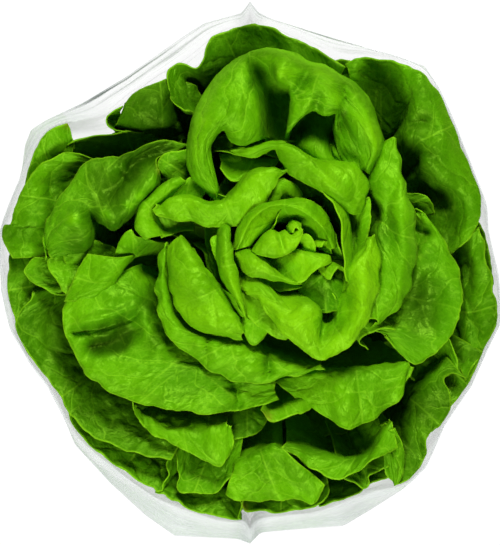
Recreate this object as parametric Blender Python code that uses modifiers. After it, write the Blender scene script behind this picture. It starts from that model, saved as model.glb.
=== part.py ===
"""A head of butterhead lettuce standing in an open sleeve of clear film.

Metres, +Z up. The origin is on the surface the sleeve stands on, under the middle of its mouth.
+Y points to one of the sleeve's two side welds. Two solids: film_sleeve and lettuce_head.
"""

import math

import bmesh
import bpy
from mathutils import Vector

# --- Driving dimensions, in metres and degrees ---------------------------------------------

# The film sleeve
FILM_WALL = 0.0008
BASE_RADIUS = 0.046
SHOULDER_HEIGHT = 0.092  # the film swells from the base up to here, then runs straight up
RIM_HEIGHT = 0.132
# The mouth is stretched flat between the widest leaves and the two welds: (azimuth, radius)
MOUTH_CORNERS = (
    (8, 0.1165),
    (47, 0.1260),
    (90, 0.1235),
    (147, 0.1240),
    (180, 0.1185),
    (206, 0.1120),
    (250, 0.1265),
    (270, 0.1235),
    (303, 0.1250),
    (350, 0.1197),
)
WELD_REACH = 0.0065  # how far the flat weld stands out from the film
WELD_THICKNESS = 0.0012
WELD_AZIMUTHS = (90, 270)
SLEEVE_STEPS_ROUND = 48
SWELL_RINGS = 6
WALL_RINGS = 2

# The lettuce head
FLOOR_GAP = 0.0006  # between the film and the cut stem
LEAF_CLEARANCE = 0.0022  # between the film and the nearest leaf's middle surface
LEAF_EASING = 0.010  # the depth over which leaves crowd together against the film
LEAF_THICKNESS = 0.0024
SEAM_MERGE = 0.000005  # points closer than this, left where leaves cross, are made one
STEM_RADIUS = 0.017
NECK_RADIUS = 0.026
NECK_HEIGHT = 0.040
HEART_CENTRE = Vector((0.012, 0.009, 0.066))
HEART_RADIUS = 0.030
HEART_HEIGHT = 0.038  # half of it
HEAD_LEAN = Vector((0.019, 0.015, 0.0))  # how far the innermost leaves stand off the stem
LEAF_ROWS = 7
LEAF_COLUMNS = 11
# The leaves lie packed on each other, so one body fills the head up to where their rims part
PACKED_INSET = 0.006  # from the film to the packed body
PACKED_SIDE = (0.016, 0.026, 0.042, 0.062)  # heights of its rings beside the film
PACKED_TOP = ((0.86, 0.070), (0.70, 0.083), (0.50, 0.095), (0.30, 0.102))  # share of the mouth, height
PACKED_STEPS_ROUND = 24

# One line for each whorl of leaves, from the outside in:
# count, first azimuth, rim radius, rim height, half spread, lean of the rim (0 outward, 90 up)
WHORLS = {
    "outer": (6, 14, 0.116, 0.078, 40, -6),
    "spread": (5, 40, 0.099, 0.094, 46, 8),
    "middle": (4, 5, 0.076, 0.108, 56, 48),
    "inner": (3, 30, 0.050, 0.117, 72, 104),
    "heart": (2, 75, 0.026, 0.119, 86, 122),
}


# --- Helpers -------------------------------------------------------------------------------


def polar(azimuth, radius=1.0, height=0.0):
    """The point at this azimuth in degrees, radius and height."""
    turn = math.radians(azimuth)
    return Vector((radius * math.cos(turn), radius * math.sin(turn), height))


def smooth(x):
    return x * x * (3 - 2 * x)


def mouth_radius(azimuth):
    """Radius of the film's mouth, run smoothly through MOUTH_CORNERS."""
    azimuth %= 360
    count = len(MOUTH_CORNERS)
    for i in range(count):
        start, low = MOUTH_CORNERS[i]
        end, high = MOUTH_CORNERS[(i + 1) % count]
        span = (end - start) % 360
        along = (azimuth - start) % 360
        if along < span:
            return low + (high - low) * smooth(along / span)
    return MOUTH_CORNERS[-1][1]


def film_share(height):
    """The film's radius at this height, as a share of the mouth's, before the base is blended in."""
    rise = min(max(height / SHOULDER_HEIGHT, 0.0), 1.0)
    return math.sqrt(1 - (1 - rise) ** 2)


def film_radius(azimuth, height):
    return BASE_RADIUS + (mouth_radius(azimuth) - BASE_RADIUS) * film_share(height)


def profile_heights():
    """Heights of the sleeve's rings, closest together where the film turns up from its base."""
    swell = [
        SHOULDER_HEIGHT * (1 - math.cos(math.pi / 2 * i / SWELL_RINGS)) for i in range(SWELL_RINGS + 1)
    ]
    wall = [
        SHOULDER_HEIGHT + (RIM_HEIGHT - SHOULDER_HEIGHT) * i / WALL_RINGS for i in range(1, WALL_RINGS + 1)
    ]
    return swell + wall


def material(name, colour, roughness, alpha=1.0):
    made = bpy.data.materials.new(name)
    made.use_nodes = True
    shader = made.node_tree.nodes["Principled BSDF"]
    shader.inputs["Base Color"].default_value = (*colour, 1.0)
    shader.inputs["Roughness"].default_value = roughness
    shader.inputs["Metallic"].default_value = 0.0
    shader.inputs["Alpha"].default_value = alpha
    return made


def object_from(bm, name, collection, surface=None):
    """A new object holding this bmesh, its normals facing out."""
    bmesh.ops.recalc_face_normals(bm, faces=bm.faces)
    mesh = bpy.data.meshes.new(name)
    bm.to_mesh(mesh)
    bm.free()
    if surface:
        mesh.materials.append(surface)
    made = bpy.data.objects.new(name, mesh)
    collection.objects.link(made)
    return made


def thicken(target, thickness, offset):
    """A Solidify modifier. offset -1 adds the wall inside the surface, 0 on both sides of it."""
    shell = target.modifiers.new("wall", "SOLIDIFY")
    shell.thickness = thickness
    shell.offset = offset


def helper(target):
    """Marks an object that only shapes another one, so that it isn't a part."""
    target.hide_render = True
    target.display_type = "WIRE"


def join(target, others):
    """Unites the objects of a collection with target."""
    union = target.modifiers.new("union", "BOOLEAN")
    union.operation = "UNION"
    union.operand_type = "COLLECTION"
    union.collection = others
    union.solver = "EXACT"
    union.use_self = True


def new_collection(name, parent):
    made = bpy.data.collections.new(name)
    parent.children.link(made)
    return made


# --- The film sleeve -----------------------------------------------------------------------


def build_film(collection, surface):
    """The sleeve: a flat round base, swelling sides and a mouth left open."""
    bm = bmesh.new()
    rings = []
    for height in profile_heights():
        ring = []
        for step in range(SLEEVE_STEPS_ROUND):
            azimuth = 360 * step / SLEEVE_STEPS_ROUND
            ring.append(bm.verts.new(polar(azimuth, film_radius(azimuth, height), height)))
        rings.append(ring)
    for low, high in zip(rings, rings[1:]):
        for i in range(SLEEVE_STEPS_ROUND):
            j = (i + 1) % SLEEVE_STEPS_ROUND
            bm.faces.new((low[i], low[j], high[j], high[i]))
    bm.faces.new(rings[0][::-1])
    sleeve = object_from(bm, "film_sleeve", collection, surface)
    thicken(sleeve, FILM_WALL, -1)
    return sleeve


def build_weld(azimuth, collection):
    """The flat fin where the two films are welded, from the base up to the rim."""
    bm = bmesh.new()
    along = polar(azimuth)
    across = polar(azimuth + 90) * (WELD_THICKNESS / 2)
    inner, outer = [], []
    for height in profile_heights()[1:]:
        radius = film_radius(azimuth, height)
        tuck = min(height, WELD_REACH)  # the fin tapers away where the film turns under the head
        inner.append(along * (radius - FILM_WALL / 2) + Vector((0, 0, height)))
        outer.append(along * (radius + tuck) + Vector((0, 0, height)))
    outline = inner + outer[::-1]
    near = [bm.verts.new(point - across) for point in outline]
    far = [bm.verts.new(point + across) for point in outline]
    count = len(outline)
    last = count - 1
    for i in range(len(inner) - 1):
        bm.faces.new((near[i], near[i + 1], near[last - i - 1], near[last - i]))
        bm.faces.new((far[i], far[last - i], far[last - i - 1], far[i + 1]))
    for i in range(count):
        j = (i + 1) % count
        bm.faces.new((near[j], near[i], far[i], far[j]))
    helper(object_from(bm, f"weld_{azimuth}", collection))


# --- The lettuce head ----------------------------------------------------------------------


def bezier(points, t):
    """The point at t on a cubic Bezier curve."""
    s = 1 - t
    weights = (s**3, 3 * s * s * t, 3 * s * t * t, t**3)
    return sum((p * w for p, w in zip(points, weights)), Vector())


def inside_film(point):
    """The point, eased in where it would come near the film, so that leaves stay one behind another."""
    azimuth = math.degrees(math.atan2(point.y, point.x))
    most = film_radius(azimuth, point.z - LEAF_CLEARANCE) - LEAF_CLEARANCE
    free = most - LEAF_EASING
    radius = math.hypot(point.x, point.y)
    if radius > free:
        eased = most - LEAF_EASING * math.exp((free - radius) / LEAF_EASING)
        point = Vector((point.x * eased / radius, point.y * eased / radius, point.z))
    return point


def leaf_point(u, v, azimuth, radius, height, spread, lean, centre, phase):
    """A point of a leaf: u runs from its base to its rim, v from -1 to 1 across it."""
    side = azimuth + spread * v
    ripple = math.sin(2.5 * math.pi * v + phase)
    rim = centre + polar(side, radius * (1 - 0.13 * v**4 + 0.035 * ripple))
    rim.z = height * (1 - 0.10 * v * v) + 0.004 * math.cos(3 * math.pi * v + phase)
    base = polar(azimuth + 55 * v, STEM_RADIUS * 0.6, NECK_HEIGHT * 0.55)
    tilt = math.radians(lean + 12 * ripple)
    chord = (rim - base).length
    outward = polar(side)
    arrival = outward * math.cos(tilt) + Vector((0, 0, math.sin(tilt)))
    leave = outward * math.cos(math.radians(20)) + Vector((0, 0, math.sin(math.radians(20))))
    return inside_film(bezier((base, base + leave * chord * 0.42, rim - arrival * chord * 0.40, rim), u))


def build_leaf(name, collection, **shape):
    """A leaf as a bent grid with a thickness."""
    bm = bmesh.new()
    bmesh.ops.create_grid(bm, x_segments=LEAF_COLUMNS, y_segments=LEAF_ROWS, size=1.0)
    for vert in bm.verts:
        vert.co = leaf_point((vert.co.y + 1) / 2, vert.co.x, **shape)
    leaf = object_from(bm, name, collection)
    thicken(leaf, LEAF_THICKNESS, 0)
    helper(leaf)


def build_leaves(collection):
    """Every whorl, its leaves evenly turned and a little uneven in size."""
    innermost = len(WHORLS) - 1
    for order, (whorl, (count, first, radius, height, spread, lean)) in enumerate(WHORLS.items()):
        centre = HEAD_LEAN * smooth(order / innermost)
        for i in range(count):
            phase = 1.7 * order + 2.5 * i
            uneven = 1 + 0.035 * math.sin(phase)
            build_leaf(
                f"leaf_{whorl}_{i + 1}",
                collection,
                azimuth=first + 360 * i / count + 5 * math.sin(2 * phase),
                radius=radius * uneven,
                height=height / uneven,
                spread=spread * uneven,
                lean=lean + 8 * math.cos(phase),
                centre=centre,
                phase=phase,
            )


def build_packed_body(collection):
    """The packed lower parts of the leaves: a bowl's shape beside the film, under a low dome."""
    bm = bmesh.new()
    azimuths = [360 * step / PACKED_STEPS_ROUND for step in range(PACKED_STEPS_ROUND)]
    rings = []
    for height in PACKED_SIDE:
        ring = [
            bm.verts.new(polar(a, film_radius(a, height - PACKED_INSET) - PACKED_INSET, height))
            for a in azimuths
        ]
        rings.append(ring)
    for order, (share, height) in enumerate(PACKED_TOP):
        centre = HEAD_LEAN * smooth((order + 1) / len(PACKED_TOP))
        centre.z = height
        rings.append([bm.verts.new(centre + polar(a, mouth_radius(a) * share)) for a in azimuths])
    for low, high in zip(rings, rings[1:]):
        for i in range(PACKED_STEPS_ROUND):
            j = (i + 1) % PACKED_STEPS_ROUND
            bm.faces.new((low[i], low[j], high[j], high[i]))
    bm.faces.new(rings[0][::-1])
    bm.faces.new(rings[-1])
    helper(object_from(bm, "packed_body", collection))


def build_heart(collection):
    """The packed middle of the head, where no gap shows between the leaves."""
    bm = bmesh.new()
    bmesh.ops.create_uvsphere(bm, u_segments=16, v_segments=8, radius=HEART_RADIUS)
    for vert in bm.verts:
        vert.co.z *= HEART_HEIGHT / HEART_RADIUS
        vert.co += HEART_CENTRE
    helper(object_from(bm, "heart", collection))


def build_head(collection, surface):
    """The cut stem and neck, to which the heart and every leaf are joined as one solid."""
    bm = bmesh.new()
    low = FILM_WALL + FLOOR_GAP
    bmesh.ops.create_cone(
        bm,
        cap_ends=True,
        segments=20,
        radius1=STEM_RADIUS,
        radius2=NECK_RADIUS,
        depth=NECK_HEIGHT - low,
    )
    for vert in bm.verts:
        vert.co.z += (NECK_HEIGHT + low) / 2
    return object_from(bm, "lettuce_head", collection, surface)


def shells(faces):
    """The faces in groups, each group joined across edges that only two faces share."""
    unseen = set(faces)
    groups = []
    while unseen:
        queue = [unseen.pop()]
        group = list(queue)
        while queue:
            for edge in queue.pop().edges:
                for face in edge.link_faces if edge.is_manifold else ():
                    if face in unseen:
                        unseen.discard(face)
                        group.append(face)
                        queue.append(face)
        groups.append(group)
    return sorted(groups, key=len)


def keep_outer_skin(target):
    """Applies target's union, then drops slivers and the sealed pockets left between joined leaves."""
    graph = bpy.context.evaluated_depsgraph_get()
    mesh = bpy.data.meshes.new_from_object(target.evaluated_get(graph))
    target.modifiers.clear()
    bm = bmesh.new()
    bm.from_mesh(mesh)
    bmesh.ops.triangulate(bm, faces=bm.faces)
    bmesh.ops.remove_doubles(bm, verts=bm.verts, dist=SEAM_MERGE)
    inner = [face for shell in shells(bm.faces)[:-1] for face in shell]
    bmesh.ops.delete(bm, geom=inner, context="FACES")
    bm.to_mesh(mesh)
    bm.free()
    target.data = mesh


# --- The whole -----------------------------------------------------------------------------


def main():
    for old in list(bpy.data.objects):
        bpy.data.objects.remove(old)
    scene = bpy.context.scene.collection
    parts = new_collection("bag_of_butterhead_lettuce", scene)
    welds = new_collection("weld_shapes", scene)
    leaves = new_collection("leaf_shapes", scene)

    film = material("clear_film", (0.86, 0.90, 0.89), 0.12, alpha=0.25)
    leaf_green = material("lettuce_leaf", (0.13, 0.36, 0.015), 0.38)

    sleeve = build_film(parts, film)
    for azimuth in WELD_AZIMUTHS:
        build_weld(azimuth, welds)
    join(sleeve, welds)

    head = build_head(parts, leaf_green)
    build_packed_body(leaves)
    build_heart(leaves)
    build_leaves(leaves)
    join(head, leaves)
    keep_outer_skin(head)


main()
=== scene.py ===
"""The looks of a head of butterhead lettuce standing in its open sleeve of clear film.

Every place below is in millimetres of the design, turned into the frame's metres with MM, which is
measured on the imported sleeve. +Z is up, out of the sleeve's mouth, and the camera looks down on it.
A leaf is a surface run from its foot on the stem, out under its neighbours, through rows of points
that follow it where it shows, to its rim.
"""

import math

import bpy
import numpy as np
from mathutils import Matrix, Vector


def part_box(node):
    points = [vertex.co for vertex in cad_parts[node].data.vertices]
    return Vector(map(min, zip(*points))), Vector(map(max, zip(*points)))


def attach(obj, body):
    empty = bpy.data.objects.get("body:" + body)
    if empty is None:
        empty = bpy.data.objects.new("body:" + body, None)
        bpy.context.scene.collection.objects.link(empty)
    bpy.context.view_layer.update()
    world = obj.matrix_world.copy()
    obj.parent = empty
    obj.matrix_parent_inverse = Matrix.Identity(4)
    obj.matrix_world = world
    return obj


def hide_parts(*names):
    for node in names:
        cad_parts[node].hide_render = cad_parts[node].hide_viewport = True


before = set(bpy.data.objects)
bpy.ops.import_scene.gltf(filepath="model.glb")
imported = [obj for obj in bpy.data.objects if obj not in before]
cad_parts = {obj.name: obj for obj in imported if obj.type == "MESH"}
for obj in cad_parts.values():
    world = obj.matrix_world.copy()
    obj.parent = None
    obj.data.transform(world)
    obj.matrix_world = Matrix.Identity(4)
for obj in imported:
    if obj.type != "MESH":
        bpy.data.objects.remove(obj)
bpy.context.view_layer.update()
SLEEVE_LOW, SLEEVE_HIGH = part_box("film_sleeve")

# --- Driving sizes -------------------------------------------------------------------------

SLEEVE_WIDTH = 237.0  # the sleeve's width along X in millimetres of the design
MM = (SLEEVE_HIGH.x - SLEEVE_LOW.x) / SLEEVE_WIDTH
RIM_HEIGHT = (SLEEVE_HIGH.z - SLEEVE_LOW.z) / MM

CAMERA_RISE = 6.0 / MM  # the camera's height over the surface that the sleeve stands on, 6 metres
SHOWN_HEIGHT = 261.6  # how much of the plane of the film's mouth the picture shows, top to bottom
LIT_PLACE = (0, 0, 0.08)  # the place in metres, inside the head, that the lamps are aimed at

# The film sleeve
BASE_RADIUS = 46.0
SHOULDER_HEIGHT = 92.0  # the film swells from its base up to here, then runs straight to its mouth
FILM_THICKNESS = 0.12
LEAF_GAP = 0.5  # between a leaf and the film
LEAF_EASING = 1.2  # the depth over which a leaf is turned up by the film
# The film's mouth, as (x, y) corners: pulled straight between the widest leaves and the two welds
MOUTH = (
    (0, 130), (-4, 124.5), (-22, 119.5), (-31, 114), (-60, 93.5), (-80, 81.5), (-98, 73), (-105, 68.5),
    (-108, 61), (-110, 45), (-115, 33), (-120, 20), (-119.5, -8), (-115, -27), (-105, -43.5), (-97, -54),
    (-90, -67.5), (-84, -82.5), (-67, -101), (-50, -116.5), (-36, -126.3), (-6, -127.8), (0, -130),
    (5, -124.8), (22, -123.2), (45, -121.5), (60, -112.5), (74, -103.5), (84, -93), (93, -73), (106, -54),
    (114, -36), (120.5, -23), (118.5, 0), (114, 20), (113.5, 32), (108.5, 45), (98.5, 70), (91, 87),
    (84, 99), (66, 104.8), (40, 112.5), (10, 121.8), (4, 124.8),
)
# Where the leaves hold the film out: a short way outside their rims, and taut from one rim to the next
HELD_HEIGHT = 78.0
HELD_EASE = 2.0  # from the leaves' rims out to the film
HELD_PLACES = 400  # the places looked at along each rim
HELD_SPAN = 2  # the degrees to each side over which the film stays out at the widest rim
HELD_SMOOTHING = 10  # the degrees to each side over which it is then smoothed
HELD_PAST_MOUTH = 1.015  # the most that the leaves hold the film out past its mouth
AROUND = 120.0  # the radius that places round the film are measured at
WELDS = (90, 270)  # the azimuths of the two side welds
WELD_REACH = 6.0  # how far the welds stand out, where the two films are pinched together
WELD_FOOT = 0.25  # the share of that reach one degree to each side of a weld
SLACK_ARC = (38, 142)  # the azimuths between which the film stands slack
SLACK_FADE = 14
LEAST_SLACK = 0.1
BASE_RINGS = (0.0, 0.25, 0.5, 0.75)  # rings across the flat base, as shares of its radius

# The stem, from its cut end up into the heart of the head
STEM_FOOT = np.array((7.0, 5.0, 1.6))
STEM_TOP = np.array((18.0, 14.0, 60.0))
STEM_RADIUS = 15.0
FOOT_RADIUS = 0.7 * STEM_RADIUS  # where the lowest leaves' feet sit in the stem

# The leaves
LEAF_THICKNESS = 0.55
MESH_STEP = 1.55  # the spacing of a leaf's mesh where it shows
FOOT_WRAP = 0.5  # how far a leaf's foot turns round the stem, as a share of its own turn
OUTER_BELLY = (0.70, 0.36)  # where a hidden part turns up, as shares of its reach and of its rise
INNER_BELLY = (0.86, 0.42)
INNER_TONE = 0.4  # leaves at least this pale stand upright, and use INNER_BELLY
# Tones past 1 are painted shade, darkest at the bottom of a fold.
DEEPEST_PAINTED_SHADE = 1.4  # tones: 0 is the pale heart, 1 an outer leaf, and this the bottom of a fold
# Painted shade: an outer leaf's tone deepens away from its rim, where the leaves over it shade it.
PAINTED_SHADE_INWARD = 0.42  # how much deeper an outer leaf's tone is away from its rim
CELL_SIZE = 8.0  # of the blade's raised cells, with veins between them
VEIN_SPACING = 13.0
VEIN_SLANT = 0.75  # how far a side vein climbs for each millimetre that it runs sideways
VEIN_CURVE = 0.004  # and how much of that climb it loses with the square of the distance
VEIN_OFFSET = 0.25  # how far the veins on the two sides are shifted, as a share of their spacing
GROOVE_WIDTH = 1.6  # of the grooves along the veins
GROOVE_DEPTH = 0.5
BLISTER_HEIGHT = 1.35  # of the cells between the veins
RIM_WAVE_LENGTH = 15.0  # of the waves along a leaf's rim
RIM_WAVE_HEIGHT = 1.3
RIM_WAVE_DEPTH = 5.0  # how far in from the rim the waves die away
FLAT_RIM = 9.0  # the width of the rim over which the blade's relief fades out
PATCH_SIZE = 26.0  # of the patches of a blade that are more or less puckered and ruffled
LEAST_RELIEF = 0.45  # the share of the relief that is left where a patch is at its flattest
CELL_DRIFT = 14.0  # the size of the swells that bend the rows of cells
# Waves laid on each other, each with a step of the leaf's seed, a size and a height
BLADE_SWELLS = ((0, 17.0, 1.6), (50, 7.0, 0.4))
RIM_TEETH = ((20, 2.2, 0.22), (21, 6.0, 0.35))
RIM_TEETH_DEPTH = 2.5  # how far in from the rim its small teeth die away
FAR = 99.0  # a distance that no rib's colour reaches


# --- The leaves ----------------------------------------------------------------------------
# Each leaf has a foot height on the stem, a tone (0 pale heart, 1 dark outer leaf), partly its own
# green and partly painted shade, and rows of (x, y, z) points, the last of them its rim. A point
# without z is as high as the one before it, and x and y are as the camera sees them at the height of
# the film's mouth. A leaf with one row gets the
# row inside it from "inset" and "dip". The rest is given by (x, y) places on the leaf:
# - a fold is a valley along a line of places, with a width and a depth
# - a swell is a rise with a radius and a height
# - a painted shade is a deeper tone with a radius and an amount, where hollows, folds and other
#   leaves shade the leaf
# - a brown spot has a radius
# - a rib is a pale vein along a line of places
# A number below zero turns a fold into a ridge, a swell into a hollow and a painted shade into a
# painted highlight, a paler tone.
# "pucker" and "ruffle" scale the relief of the blade and the waves of the rim, and "belly" is used
# instead of OUTER_BELLY or INNER_BELLY.


def with_heights(row):
    """A row's points as an array, each point without a height at the height before it."""
    full = []
    for point in row:
        full.append(point if len(point) == 3 else (*point, full[-1][2]))
    return np.array(full, float)


def leaf(foot, tone_and_shade, *rows, **more):
    return {"foot": foot, "tone_and_shade": tone_and_shade, "rows": [with_heights(row) for row in rows], **more}


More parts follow.
